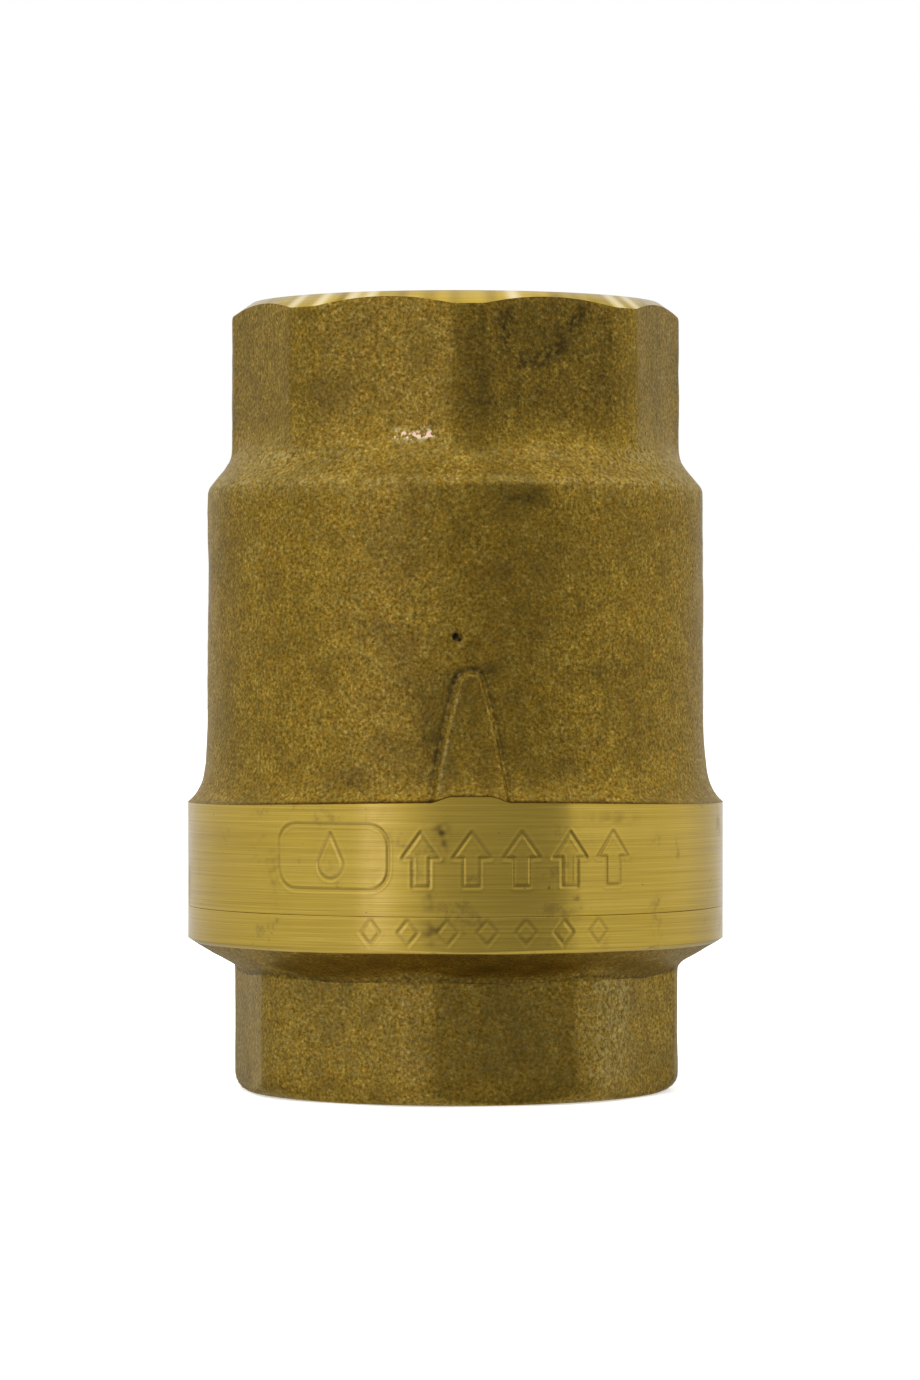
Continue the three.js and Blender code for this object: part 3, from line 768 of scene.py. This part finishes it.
def make_end_cap():
    shell = Shell()
    octagon = octagon_columns()
    flats = polygon_r(octagon, 8, FLAT_R, CORNER_R)
    shell.profile(all_round(END_COLUMNS), [(MOUTH_R, 0), (FACE_INNER_R - 0.1, 0)], TURNED)
    add_inlet_octagon(shell, octagon, flats)
    add_collar_underside(shell, octagon, flats)
    add_cap_band(shell)

    # The spigot with its groove, the seat's lip, the bore and the relief groove.
    shell.profile(all_round(INNER_COLUMNS), [
        (SPIGOT_R, JOINT_LOW_Z), (SPIGOT_R, GROOVE_LOW_Z), (GROOVE_R, GROOVE_LOW_Z),
        (GROOVE_R, GROOVE_HIGH_Z), (SPIGOT_R, GROOVE_HIGH_Z), (SPIGOT_R, SPIGOT_TOP_Z - 0.7),
        (SPIGOT_R - 0.7, SPIGOT_TOP_Z), (SEAT_R + 2.4, SPIGOT_TOP_Z - 0.4),
        (SEAT_R + 1.35, SEAT_Z - 0.08), (SEAT_R + 1.2, SEAT_Z), (SEAT_R + 0.32, SEAT_Z),
        (SEAT_R, SEAT_Z - 0.3), (SEAT_R, THREAD_LENGTH + 2), (CREST_R, THREAD_LENGTH + 0.4),
        (CREST_R, THREAD_LENGTH + 0.15), (CREST_R + 0.15, THREAD_LENGTH),
        (RELIEF_R - 0.15, THREAD_LENGTH), (RELIEF_R, THREAD_LENGTH - 0.15),
    ], TURNED)
    columns, r, height = port_rows(0, 1)
    shell.zone(columns, r[::-1], height[::-1], TURNED)
    shell.close(TURNED)
    return shell.make("end_cap_casting", turn=CAP_TURN, sharp=60)


# ---- The pieces inside ----

STEM_LOW, STEM_HIGH = mm_box("stem")
STEM_R = STEM_HIGH[0]
STEM_SHOULDER_Z = 29.36
SCREW_R = 2.0
SCREW_PITCH = 0.7
SCREW_DEPTH = 0.36
DISC_LOW, DISC_HIGH = mm_box("valve_disc")
DISC_WEB_Z = 26.7
DISC_HUB_R = 5.0
SEAL_LOW, SEAL_HIGH = mm_box("seat_seal")
SEAL_INNER_R = 6.0
RETAINER_LOW, RETAINER_HIGH = mm_box("seal_retainer")
RETAINER_PLATE_R = 8.9
RETAINER_THICKNESS = 1.6
WING_WIDTH = 1.5
WING_START_R = 5.6
WASHER_LOW, WASHER_HIGH = mm_box("lock_washer")
WASHER_GAP = 0.5
WASHER_GAP_ANGLE = math.radians(126)
NUT_LOW, NUT_HIGH = mm_box("stem_nut")
NUT_FLAT_R = 3.5
HOLE_R = 2.1  # through disc, retainer, washer and nut
GUIDE_LOW, GUIDE_HIGH = mm_box("outlet_guide")
GUIDE_RIM_LOW_Z = 39.0
GUIDE_RIM_HIGH_Z = 41.7
GUIDE_RIM_INNER_R = 13.8
GUIDE_HUB_R = 4.6
GUIDE_BOSS_R = 5.25
GUIDE_ARM_WIDTH = 2.2
GUIDE_ARMS = 4
SPRING_LOW, SPRING_HIGH = mm_box("spring")
SPRING_WIRE_R = 0.4
SPRING_R = 6.0
SPRING_TURNS = 6
SPRING_DEAD_PITCH = 0.86  # of the first and the last turn
O_RING_LOW, O_RING_HIGH = mm_box("joint_o_ring")
O_RING_R = 0.85


def ring_outline(inner_r, outer_r, low_z, high_z, rounding):
    corners = [(inner_r, low_z), (outer_r, low_z), (outer_r, high_z), (inner_r, high_z)]
    return [(r, z, rounding) for r, z in corners]


def make_joint_o_ring():
    centre_r = O_RING_HIGH[0] - O_RING_R
    centre_z = (O_RING_LOW[2] + O_RING_HIGH[2]) / 2
    parting_line = 0.02  # left by the mould
    turn = steps(0, FULL_TURN, math.radians(15))
    wire_r = O_RING_R - parting_line * (1 - bell(np.sin(turn), 0, 0.12))
    corners = [(r, z, 0) for r, z in zip(centre_r + wire_r * np.cos(turn), centre_z + wire_r * np.sin(turn))]
    return turned_piece("joint_seal_ring", corners, columns=144)


def make_seat_seal():
    low_z = SEAL_LOW[2]
    outline = ring_outline(SEAL_INNER_R, SEAL_HIGH[0], low_z, SEAL_HIGH[2], 0.12)
    print_depth = 0.03  # the mark that the seat's lip leaves in the rubber
    lip_print = [
        (SEAT_R + 0.2, low_z, 0), (SEAT_R + 0.4, low_z + print_depth, 0),
        (SEAT_R + 1.1, low_z + print_depth, 0), (SEAT_R + 1.3, low_z, 0),
    ]
    return turned_piece("seat_seal_ring", outline[:1] + lip_print + outline[1:], columns=128)


def make_valve_disc():
    seal_top_z = SEAL_HIGH[2] + 0.06
    boss_r, cup_r = SEAL_INNER_R - 0.1, SEAL_HIGH[0] + 0.1
    low_z, rim_z, top_z = DISC_LOW[2], SEAL_LOW[2] + 1, DISC_HIGH[2]
    outer_r = DISC_HIGH[0]
    return turned_piece("poppet_disc", [
        (HOLE_R, low_z, 0.1), (boss_r, low_z, 0.1), (boss_r, seal_top_z, 0), (cup_r, seal_top_z, 0),
        (cup_r, rim_z, 0.1), (outer_r, rim_z, 0.25), (outer_r, DISC_WEB_Z - 1.2, 0.3),
        (outer_r - 1.4, DISC_WEB_Z, 0.3), (8.6, DISC_WEB_Z, 0), (7.4, DISC_WEB_Z - 0.02, 0),
        (DISC_HUB_R, DISC_WEB_Z, 0.1), (DISC_HUB_R, top_z - 0.5, 0.12), (DISC_HUB_R - 0.5, top_z, 0.12),
        (HOLE_R, top_z, 0.1),
    ], columns=144)


def make_stem():
    """The stem, with its screw cut at the lower end, a shoulder on which the disc rests, and a turned tip."""
    shell = Shell()
    angles = all_round(48)
    low_z, top_z, point = STEM_LOW[2], STEM_HIGH[2], 0.4
    screw_top_z = STEM_SHOULDER_Z - 0.8
    height = np.arange(low_z, screw_top_z, SCREW_PITCH / 8)[:, None]
    cut = (1 - thread_wave(height, angles, SCREW_PITCH, 0.96)) / 2
    r = SCREW_R - SCREW_DEPTH * cut * smooth_step(screw_top_z - height, 0.0, 0.5)
    r = smooth_min(r, SCREW_R - point + height - low_z, 0.04)
    shell.profile(angles, [(1.2, low_z)], CAST)
    shell.zone(angles, r, height, CAST)
    shell.profile(angles, rounded([
        (SCREW_R, screw_top_z, 0), (SCREW_R, STEM_SHOULDER_Z, 0), (STEM_R, STEM_SHOULDER_Z, 0.08),
        (STEM_R, top_z - point, 0.12), (STEM_R - point, top_z, 0.12), (0.8, top_z, 0),
    ]), CAST)
    shell.cap_ends(low_z, top_z, CAST)
    return shell.make("valve_stem")


def make_stem_nut():
    """A hexagon nut, chamfered on both sides, with a countersunk hole."""
    shell = Shell()
    sides, sink, break_edge = 6, 0.25, 0.03
    half = math.pi / sides
    angles = repeated_round(steps(-half, half, math.radians(3)), sides)
    low_z, high_z = NUT_LOW[2], NUT_HIGH[2]
    flats = polygon_r(angles, sides, NUT_FLAT_R, NUT_FLAT_R / math.cos(half) - 0.05, 0.03)
    face_r = NUT_FLAT_R - 0.12
    chamfer = (flats - face_r) * math.tan(math.radians(32))
    shell.profile(angles, [
        (HOLE_R, high_z - sink), (HOLE_R, low_z + sink), (HOLE_R + sink, low_z), (face_r - 0.1, low_z),
        (face_r, low_z + 0.01), (flats - break_edge, low_z + chamfer - 0.01),
        (flats, low_z + chamfer + break_edge), (flats, high_z - chamfer - break_edge),
        (flats - break_edge, high_z - chamfer + 0.01), (face_r, high_z - 0.01), (face_r - 0.1, high_z),
        (HOLE_R + sink, high_z),
    ], CAST)
    shell.close(CAST)
    return shell.make("locking_nut", sharp=25)


def make_lock_washer():
    """A square wire bent into a ring, with a gap between its two ends."""
    half_gap = WASHER_GAP / (HOLE_R + WASHER_HIGH[0])  # as an angle
    section = rounded(ring_outline(HOLE_R, WASHER_HIGH[0], WASHER_LOW[2], WASHER_HIGH[2], 0.14), 3)
    turn = np.linspace(half_gap, FULL_TURN - half_gap, 60) + WASHER_GAP_ANGLE
    rings = [[(r * math.sin(a), -r * math.cos(a), z) for r, z in section] for a in turn]
    return swept_piece("split_washer", rings)


def spring_height(turn, open_pitch):
    """How far the wire has climbed after some turns. The first and last turns lie close."""
    still, blend = np.zeros_like(turn), 0.12
    opened = smooth_max(turn - 1, still, blend)
    closed = smooth_max(turn - SPRING_TURNS + 1, still, blend)
    return turn * SPRING_DEAD_PITCH + (opened - closed) * (open_pitch - SPRING_DEAD_PITCH)


def make_spring():
    sides, per_turn = 12, 48
    low_z = SPRING_LOW[2] + SPRING_WIRE_R
    high_z = SPRING_HIGH[2] - SPRING_WIRE_R
    turn = np.linspace(0, SPRING_TURNS, SPRING_TURNS * per_turn + 1)
    open_pitch = (high_z - low_z - 2 * SPRING_DEAD_PITCH) / (SPRING_TURNS - 2)
    climbed = spring_height(turn, open_pitch)
    height = low_z + (climbed - climbed[0]) * (high_z - low_z) / (climbed[-1] - climbed[0])
    angle = turn * FULL_TURN
    outward = np.stack([np.cos(angle), np.sin(angle), np.zeros_like(angle)], axis=1)
    line = SPRING_R * outward
    line[:, 2] = height
    up = unit(np.cross(unit(np.gradient(line, axis=0)), outward))
    spokes = [(math.cos(a), math.sin(a)) for a in -steps(0, FULL_TURN, FULL_TURN / sides)]
    rings = [
        [place + SPRING_WIRE_R * (c * out_way + s * up_way) for c, s in spokes]
        for place, out_way, up_way in zip(line, outward, up)
    ]
    return swept_piece("closing_spring", rings, sharp=50)


def bar(start, end, width, low_z, high_z, angle):
    """A plain bar along the radius, for joining to a turned shape. The angle is from +X."""
    direction = np.array([math.cos(angle), math.sin(angle), 0])
    across = np.array([-math.sin(angle), math.cos(angle), 0]) * width / 2
    points = []
    for z in (low_z, high_z):
        for along, side in ((start, -1), (end, -1), (end, 1), (start, 1)):
            points.append(direction * along + across * side + np.array([0, 0, z]))
    faces = [(3, 2, 1, 0), (4, 5, 6, 7), (0, 1, 5, 4), (1, 2, 6, 5), (2, 3, 7, 6), (3, 0, 4, 7)]
    return make_piece("bar", points, faces)


def fused(name, base, others, keep_inside=(), bevel=0.15):
    """One piece made from turned shapes and bars, with its edges rounded."""
    edge_angle = 40
    tools = [(tool, "UNION") for tool in others] + [(tool, "INTERSECT") for tool in keep_inside]
    for tool, operation in tools:
        step = base.modifiers.new(operation, "BOOLEAN")
        step.operation = operation
        step.solver = "EXACT"
        step.object = tool
    rounding = base.modifiers.new("rounding", "BEVEL")
    rounding.width = bevel * MM
    rounding.segments = 2
    rounding.limit_method = "ANGLE"
    rounding.angle_limit = math.radians(edge_angle)
    depsgraph = bpy.context.evaluated_depsgraph_get()
    mesh = bpy.data.meshes.new_from_object(base.evaluated_get(depsgraph))
    mesh.name = name
    smooth_shade(mesh, edge_angle)
    for used in (base, *others, *keep_inside):
        bpy.data.objects.remove(used)
    return placed(name, mesh)


def make_outlet_guide():
    rim_outline = ring_outline(GUIDE_RIM_INNER_R, GUIDE_HIGH[0], GUIDE_RIM_LOW_Z, GUIDE_RIM_HIGH_Z, 0)
    rim = turned_piece("rim", rim_outline, columns=128)
    boss_z, hub_z = GUIDE_LOW[2], GUIDE_HIGH[2]
    bore_r = STEM_R + 0.1
    hub = turned_piece("hub", [
        (bore_r, boss_z, 0), (GUIDE_BOSS_R - 0.4, boss_z, 0), (GUIDE_BOSS_R, boss_z + 0.6, 0),
        (GUIDE_BOSS_R, GUIDE_RIM_LOW_Z + 0.4, 0), (GUIDE_HUB_R, GUIDE_RIM_HIGH_Z, 0),
        (GUIDE_HUB_R, hub_z - 0.6, 0), (GUIDE_HUB_R - 0.6, hub_z, 0), (bore_r, hub_z, 0),
    ], columns=64)
    start, end, arm_top_z = GUIDE_HUB_R - 1, GUIDE_RIM_INNER_R + 1, GUIDE_RIM_HIGH_Z - 0.2
    arms = [
        bar(start, end, GUIDE_ARM_WIDTH, GUIDE_RIM_LOW_Z, arm_top_z, (i + 0.5) * FULL_TURN / GUIDE_ARMS)
        for i in range(GUIDE_ARMS)
    ]
    return fused("stem_guide", rim, [hub, *arms])


def make_seal_retainer():
    top_z, low_z, wing_r = RETAINER_HIGH[2], RETAINER_LOW[2], RETAINER_HIGH[0]
    plate_z = top_z - RETAINER_THICKNESS
    plate_outline = ring_outline(HOLE_R, RETAINER_PLATE_R, plate_z, top_z, 0)
    plate = turned_piece("plate", plate_outline, columns=96)
    wings = [bar(WING_START_R, wing_r, WING_WIDTH, low_z, top_z - 0.5, i * math.pi / 2) for i in range(4)]
    inner_r, chamfer, play = 0.5, 1.2, 0.01
    limit = turned_piece("limit", [
        (inner_r, low_z - play, 0), (wing_r - chamfer, low_z - play, 0),
        (wing_r - play, low_z + chamfer, 0), (wing_r - play, top_z + 0.5, 0), (inner_r, top_z + 0.5, 0),
    ], columns=96)
    return fused("retainer_plate", plate, wings, keep_inside=[limit], bevel=0.1)


# ---- Materials ----


class Nodes:
    """Short ways to add nodes to a tree."""

    def __init__(self, tree):
        self.tree = tree

    def feed(self, socket, value):
        if isinstance(value, bpy.types.NodeSocket):
            self.tree.links.new(value, socket)
        else:
            socket.default_value = (*value, 1) if socket.type == "RGBA" else value

    def add(self, kind, inputs=(), **settings):
        """A new node. inputs holds what goes into its sockets, by their names or numbers."""
        node = self.tree.nodes.new(kind)
        for key, value in settings.items():
            setattr(node, key, value)
        for key, value in dict(inputs).items():
            self.feed(node.inputs[key], value)
        return node

    def math(self, operation, a, b=0.0, clamp=False):
        return self.add("ShaderNodeMath", {0: a, 1: b}, operation=operation, use_clamp=clamp).outputs[0]

    def times(self, a, b, clamp=False):
        return self.math("MULTIPLY", a, b, clamp)

    def split(self, vector):
        return self.add("ShaderNodeSeparateXYZ", {0: vector}).outputs

    def ramp(self, value, stops):
        node = self.add("ShaderNodeValToRGB", {"Fac": value})
        elements = node.color_ramp.elements
        while len(elements) < len(stops):
            elements.new(0.5)
        for element, (place, colour) in zip(elements, stops):
            element.position = place
            element.color = (*colour, 1)
        return node.outputs["Color"]

    def between(self, value, low, high, out_low=0.0, out_high=1.0, kind="SMOOTHSTEP"):
        inputs = enumerate((value, low, high, out_low, out_high))
        return self.add("ShaderNodeMapRange", inputs, interpolation_type=kind).outputs["Result"]

    def mix(self, factor, a, b, blend="MIX"):
        inputs = {"Factor": factor, 6: a, 7: b}
        return self.add("ShaderNodeMix", inputs, data_type="RGBA", blend_type=blend).outputs[2]


class Shader(Nodes):
    """A material, with the place on the piece in millimetres to drive its patterns."""

    def __init__(self, name):
        self.material = bpy.data.materials.new(name)
        self.material.use_nodes = True
        super().__init__(self.material.node_tree)
        self.surface = self.tree.nodes["Principled BSDF"]
        place = self.add("ShaderNodeTexCoord").outputs["Object"]
        scaled = self.add("ShaderNodeVectorMath", {0: place}, operation="SCALE")
        self.feed(scaled.inputs["Scale"], 1 / MM)
        self.mm = scaled.outputs["Vector"]

    def noise(self, scale, detail=2.0, roughness=0.5, at=None):
        inputs = {"Vector": self.mm if at is None else at, "Scale": scale, "Detail": detail}
        return self.add("ShaderNodeTexNoise", {**inputs, "Roughness": roughness}).outputs["Fac"]

    def bump(self, height, distance, strength, under=None):
        """A normal from a height. The distance is in millimetres."""
        node = self.add("ShaderNodeBump", {"Height": height, "Distance": distance * MM, "Strength": strength})
        if under is not None:
            self.feed(node.inputs["Normal"], under)
        return node.outputs["Normal"]

    def mark(self):
        return self.add("ShaderNodeAttribute", attribute_name="mark").outputs["Fac"]

    def rings(self, spacing, length):
        """A point that changes fast across the lathe's lines and slowly along them."""
        x, y, z = self.split(self.mm)
        r = self.math("SQRT", self.math("ADD", self.times(x, x), self.times(y, y)))
        across = self.math("ADD", self.times(z, 1 / spacing), self.times(y, 1 / length))
        inputs = {0: self.times(r, 1 / spacing), 1: across, 2: self.times(x, 1 / length)}
        return self.add("ShaderNodeCombineXYZ", inputs).outputs[0]

    def finish(self, values):
        """Feeds the surface's sockets, by their names, and gives back the material."""
        for name, value in values.items():
            self.feed(self.surface.inputs[name], value)
        return self.material


def cast_brass():
    """Sand-blasted brass: olive brown, with a fine bright grain and darker patches."""
    s = Shader("cast_brass")
    grain = s.noise(4.2, 3.0, 0.65)
    mottle = s.noise(1.1, 3.0, 0.6)
    patches = s.noise(0.16, 3.0, 0.55)
    brown = s.noise(0.55, 4.0, 0.65)
    colour = s.ramp(grain, [
        (0.30, (0.130, 0.077, 0.010)),
        (0.47, (0.300, 0.190, 0.025)),
        (0.60, (0.420, 0.276, 0.042)),
        (0.74, (0.690, 0.500, 0.140)),
    ])
    colour = s.mix(s.between(mottle, 0.35, 0.62, 0.35, 0.0), colour, (0.13, 0.080, 0.013))
    colour = s.mix(s.between(patches, 0.46, 0.64, 0.0, 0.34), colour, (0.13, 0.088, 0.018))
    colour = s.mix(s.between(brown, 0.50, 0.66, 0.0, 0.40), colour, (0.12, 0.070, 0.016))
    tint = s.ramp(s.noise(1.7, 2.0, 0.6), [(0.36, (0.96, 1.0, 1.16)), (0.64, (1.06, 1.0, 0.84))])
    colour = s.mix(1.0, colour, tint, "MULTIPLY")
    spots = s.noise(2.4, 2.0, 0.6)
    # Marks above 0 darken the brass: stains and grime, and in places painted shade.
    darkening = s.times(s.mark(), s.between(spots, 0.36, 0.62, 0.45, 1.25), clamp=True)
    colour = s.mix(darkening, colour, (0.035, 0.026, 0.012))
    # Marks below 0 brighten it: rubbed metal, and in places painted highlights and sheen.
    wear_and_highlight = s.times(s.mark(), -1)
    bare_and_highlight = s.times(wear_and_highlight, s.between(s.noise(3.0, 2.0, 0.6), 0.45, 0.60), clamp=True)
    bare_and_highlight_colour = s.mix(s.between(wear_and_highlight, 0.6, 1.2), (0.80, 0.73, 0.36), (1.0, 0.70, 0.46))
    return s.finish({
        "Base Color": s.mix(bare_and_highlight, colour, bare_and_highlight_colour),
        "Metallic": 1.0,
        "Specular Tint": (0.95, 0.88, 0.70),
        "Roughness": s.between(grain, 0.3, 0.7, 0.46, 0.30),
        "Normal": s.bump(grain, 0.045, 0.8, under=s.bump(mottle, 0.10, 0.5)),
    })


def turned_brass():
    """Brass as the lathe left it: golden, with fine lines round the axis, a few stains and painted glints."""
    s = Shader("turned_brass")
    fine = s.noise(1.0, 2.0, 0.6, at=s.rings(0.09, 9.0))
    broad = s.noise(1.0, 2.0, 0.6, at=s.rings(0.45, 14.0))
    stained = s.noise(0.33, 4.0, 0.65)
    specks = s.noise(2.2, 2.0, 0.5)
    colour = s.ramp(fine, [
        (0.28, (0.49, 0.333, 0.052)),
        (0.50, (0.585, 0.408, 0.066)),
        (0.72, (0.670, 0.480, 0.096)),
    ])
    colour = s.mix(s.between(broad, 0.35, 0.6, 0.17, 0.0), colour, (0.36, 0.24, 0.05))
    colour = s.mix(s.between(stained, 0.60, 0.72, 0.0, 0.45), colour, (0.22, 0.15, 0.045))
    colour = s.mix(s.between(specks, 0.73, 0.80, 0.0, 0.6), colour, (0.14, 0.09, 0.03))
    mark = s.mark()
    colour = s.mix(s.times(mark, 0.3, clamp=True), colour, (0.17, 0.11, 0.03))
    return s.finish({
        # Marks below 0 are painted glints, mixed towards pale gold.
        "Base Color": s.mix(s.times(mark, -1, clamp=True), colour, (1.0, 0.88, 0.55)),
        "Metallic": 1.0,
        "Roughness": s.between(stained, 0.4, 0.7, 0.15, 0.27),
        "Normal": s.bump(fine, 0.004, 0.8, under=s.bump(broad, 0.010, 0.6)),
    })


def stainless_steel():
    """Turned and drawn stainless steel: grey, with fine lines round the axis."""
    s = Shader("stainless_steel")
    fine = s.noise(1.0, 2.0, 0.6, at=s.rings(0.12, 6.0))
    film = s.noise(0.4, 3.0, 0.6)
    colour = s.ramp(fine, [(0.3, (0.47, 0.46, 0.44)), (0.7, (0.66, 0.655, 0.64))])
    return s.finish({
        "Base Color": s.mix(s.between(film, 0.45, 0.7, 0.0, 0.35), colour, (0.40, 0.385, 0.36)),
        "Metallic": 1.0,
        "Roughness": s.between(film, 0.35, 0.7, 0.24, 0.36),
        "Normal": s.bump(fine, 0.004, 0.7),
    })


def nbr_rubber():
    """Black rubber with a dry bloom."""
    s = Shader("nbr_rubber")
    bloom = s.noise(0.7, 4.0, 0.6)
    return s.finish({
        "Base Color": s.ramp(bloom, [(0.35, (0.017, 0.017, 0.018)), (0.7, (0.045, 0.044, 0.043))]),
        "Roughness": s.between(bloom, 0.35, 0.7, 0.58, 0.78),
        "Specular IOR Level": 0.4,
        "Normal": s.bump(s.noise(7.0), 0.02, 0.5),
    })


def natural_acetal():
    """Natural acetal: milky white, with a slight sheen and faint flow marks."""
    s = Shader("natural_acetal")
    flow = s.noise(0.25, 3.0)
    grain = s.noise(5.0)
    return s.finish({
        "Base Color": s.ramp(flow, [(0.3, (0.74, 0.72, 0.66)), (0.7, (0.82, 0.80, 0.75))]),
        "Roughness": s.between(grain, 0.3, 0.7, 0.36, 0.46),
        "Subsurface Weight": 0.15,
        "Subsurface Radius": (0.0015, 0.0014, 0.0012),
        "Normal": s.bump(grain, 0.006, 0.5),
    })


# ---- The valve ----

recipes = (cast_brass, turned_brass, stainless_steel, nbr_rubber, natural_acetal)
materials = {recipe.__name__: recipe() for recipe in recipes}


def finish_piece(piece, node, body, slot, *others):
    """Gives a piece its materials: the slot's own, and any others after it. Then hides its CAD node and
    parents the piece to its body's empty.
    """
    for name in (slot, *others):
        piece.data.materials.append(materials[name])
    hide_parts(node)
    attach(piece, body)


finish_piece(make_body(), "body", "housing", "cast_brass", "turned_brass")
finish_piece(make_end_cap(), "end_cap", "housing", "cast_brass", "turned_brass")
finish_piece(make_joint_o_ring(), "joint_o_ring", "housing", "nbr_rubber")
finish_piece(make_outlet_guide(), "outlet_guide", "housing", "natural_acetal")
finish_piece(make_stem(), "stem", "poppet", "stainless_steel")
finish_piece(make_valve_disc(), "valve_disc", "poppet", "turned_brass")
finish_piece(make_seat_seal(), "seat_seal", "poppet", "nbr_rubber")
finish_piece(make_seal_retainer(), "seal_retainer", "poppet", "turned_brass")
finish_piece(make_lock_washer(), "lock_washer", "poppet", "stainless_steel")
finish_piece(make_stem_nut(), "stem_nut", "poppet", "stainless_steel")

spring = make_spring()
finish_piece(spring, "spring", "housing", "stainless_steel")
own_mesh(spring)


# ---- Studio ----

WHITE = (1, 1, 1)
CAMERA_ANGLE = math.radians(-3.2)
CAMERA_DISTANCE = 380.0
CAMERA_HEIGHT = 32.3
CAMERA_LENS = 131.1
AIM_HEIGHT = 30.1
AIM_RIGHT = 0.34  # of the axis
LIGHT_AIM_HEIGHT = 30.0

# Brightness of the studio round the valve, by angle from the camera's side, in degrees: a white tent with a
# dark gap that the camera looks through, and a bright, bluish strip beside the gap.
TENT = [
    (-180, 0.78), (-120, 0.78), (-70, 0.88), (-41, 0.88), (-24, 0.95), (-16, 0.78), (-7, 0.54), (10, 0.47),
    (28, 0.41), (47, 0.42), (51, 0.86), (75, 0.84), (115, 0.86), (135, 0.72), (180, 0.78),
]
STRIP_EDGES = (-39, -31)
STRIP_COLOUR = (1.20, 1.20, 1.80)
ROOF_LEVEL = 1.10

# Brightness by height, from 0, straight down, to 1, straight up, and the roof's share there.
UPRIGHT = [(0.0, 0.95), (0.15, 0.85), (0.38, 0.55), (0.48, 0.90), (0.5, 1.0), (1.0, 1.0)]
ROOF_SHARE = [(0.5, 0.0), (0.68, 0.12), (0.85, 0.65), (1.0, 1.0)]


def grey(level):
    return (level, level, level)


def greys(stops):
    return [(place, grey(level)) for place, level in stops]


def make_floor():
    side, low = 3.0, -0.02 * MM
    mesh = bpy.data.meshes.new("floor")
    corners = [(-side, -side, low), (side, -side, low), (side, side, low), (-side, side, low)]
    mesh.from_pydata(corners, [], [(0, 1, 2, 3)])
    floor = placed("floor", mesh)
    s = Shader("floor_paper")
    mesh.materials.append(s.finish({
        "Base Color": s.ramp(s.noise(0.02), greys([(0.3, 0.90), (0.7, 0.92)])),
        "Roughness": 0.9,
        "Specular IOR Level": 0.1,
        "Emission Color": WHITE,
        "Emission Strength": 0.45,
    }))
    # From below the floor can be seen through, so that the inlet can be looked at.
    below = s.add("ShaderNodeNewGeometry").outputs["Backfacing"]
    clear = s.add("ShaderNodeBsdfTransparent").outputs[0]
    sides = s.add("ShaderNodeMixShader", {0: below, 1: s.surface.outputs[0], 2: clear})
    s.feed(s.tree.nodes["Material Output"].inputs["Surface"], sides.outputs[0])
    floor.visible_glossy = False


def make_world():
    """The tent round the valve, which the camera itself sees as plain white."""
    world = bpy.data.worlds.new("tent")
    world.use_nodes = True
    bpy.context.scene.world = world
    world.node_tree.nodes.clear()
    n = Nodes(world.node_tree)
    x, y, z = n.split(n.add("ShaderNodeTexCoord").outputs["Generated"])
    angle = n.math("ARCTAN2", x, n.times(y, -1))
    share = n.between(angle, -math.pi, math.pi, kind="LINEAR")
    height = n.between(z, -1, 1, kind="LINEAR")
    camera_side = math.degrees(CAMERA_ANGLE)
    wall = sorted(greys(TENT) + [(edge, STRIP_COLOUR) for edge in STRIP_EDGES])
    around = n.ramp(share, [((a + camera_side + 180) / 360, colour) for a, colour in wall])
    tone = n.mix(n.ramp(height, greys(ROOF_SHARE)), around, grey(ROOF_LEVEL))
    lit = n.mix(1, tone, n.ramp(height, greys(UPRIGHT)), "MULTIPLY")
    seen = n.mix(n.add("ShaderNodeLightPath").outputs["Is Camera Ray"], lit, WHITE)
    background = n.add("ShaderNodeBackground", {"Color": seen})
    n.add("ShaderNodeOutputWorld", {"Surface": background.outputs[0]})


def off_axis(angle, distance, height):
    """The point at a distance from the axis, in the direction of an angle from the front."""
    return Vector((math.sin(angle) * distance, -math.cos(angle) * distance, height))


def aimed(name, data, place, target):
    """A camera or a light at a place, turned to a target. Both are in millimetres."""
    made = placed(name, data)
    made.location = place * MM
    made.rotation_mode = "QUATERNION"
    made.rotation_quaternion = (target - place).to_track_quat("-Z", "Y")
    return made


def make_camera():
    data = bpy.data.cameras.new("camera")
    data.lens = CAMERA_LENS
    data.sensor_width = 36
    data.clip_start, data.clip_end = 0.02, 20
    place = off_axis(CAMERA_ANGLE, CAMERA_DISTANCE, CAMERA_HEIGHT)
    target = off_axis(CAMERA_ANGLE + math.pi / 2, AIM_RIGHT, AIM_HEIGHT)
    bpy.context.scene.camera = aimed("camera", data, place, target)


def make_light(name, angle, distance, height, width, depth, power):
    """A soft box that faces the valve. Its angle is in degrees, and its width and depth are in metres."""
    data = bpy.data.lights.new(name, "AREA")
    data.shape = "RECTANGLE"
    data.size = width
    data.size_y = depth
    data.energy = power
    place = off_axis(math.radians(angle), distance, height)
    light = aimed(name, data, place, Vector((0, 0, LIGHT_AIM_HEIGHT)))
    light.visible_camera = False
    light.visible_glossy = False


make_floor()
make_world()
make_camera()
make_light("top_softbox", -20, 250, 1100, 0.9, 0.9, 6)
make_light("left_softbox", -95, 1000, 450, 0.5, 0.9, 4)
make_light("right_softbox", 100, 1000, 450, 0.5, 0.9, 4)
bpy.context.scene.view_settings.view_transform = "Standard"
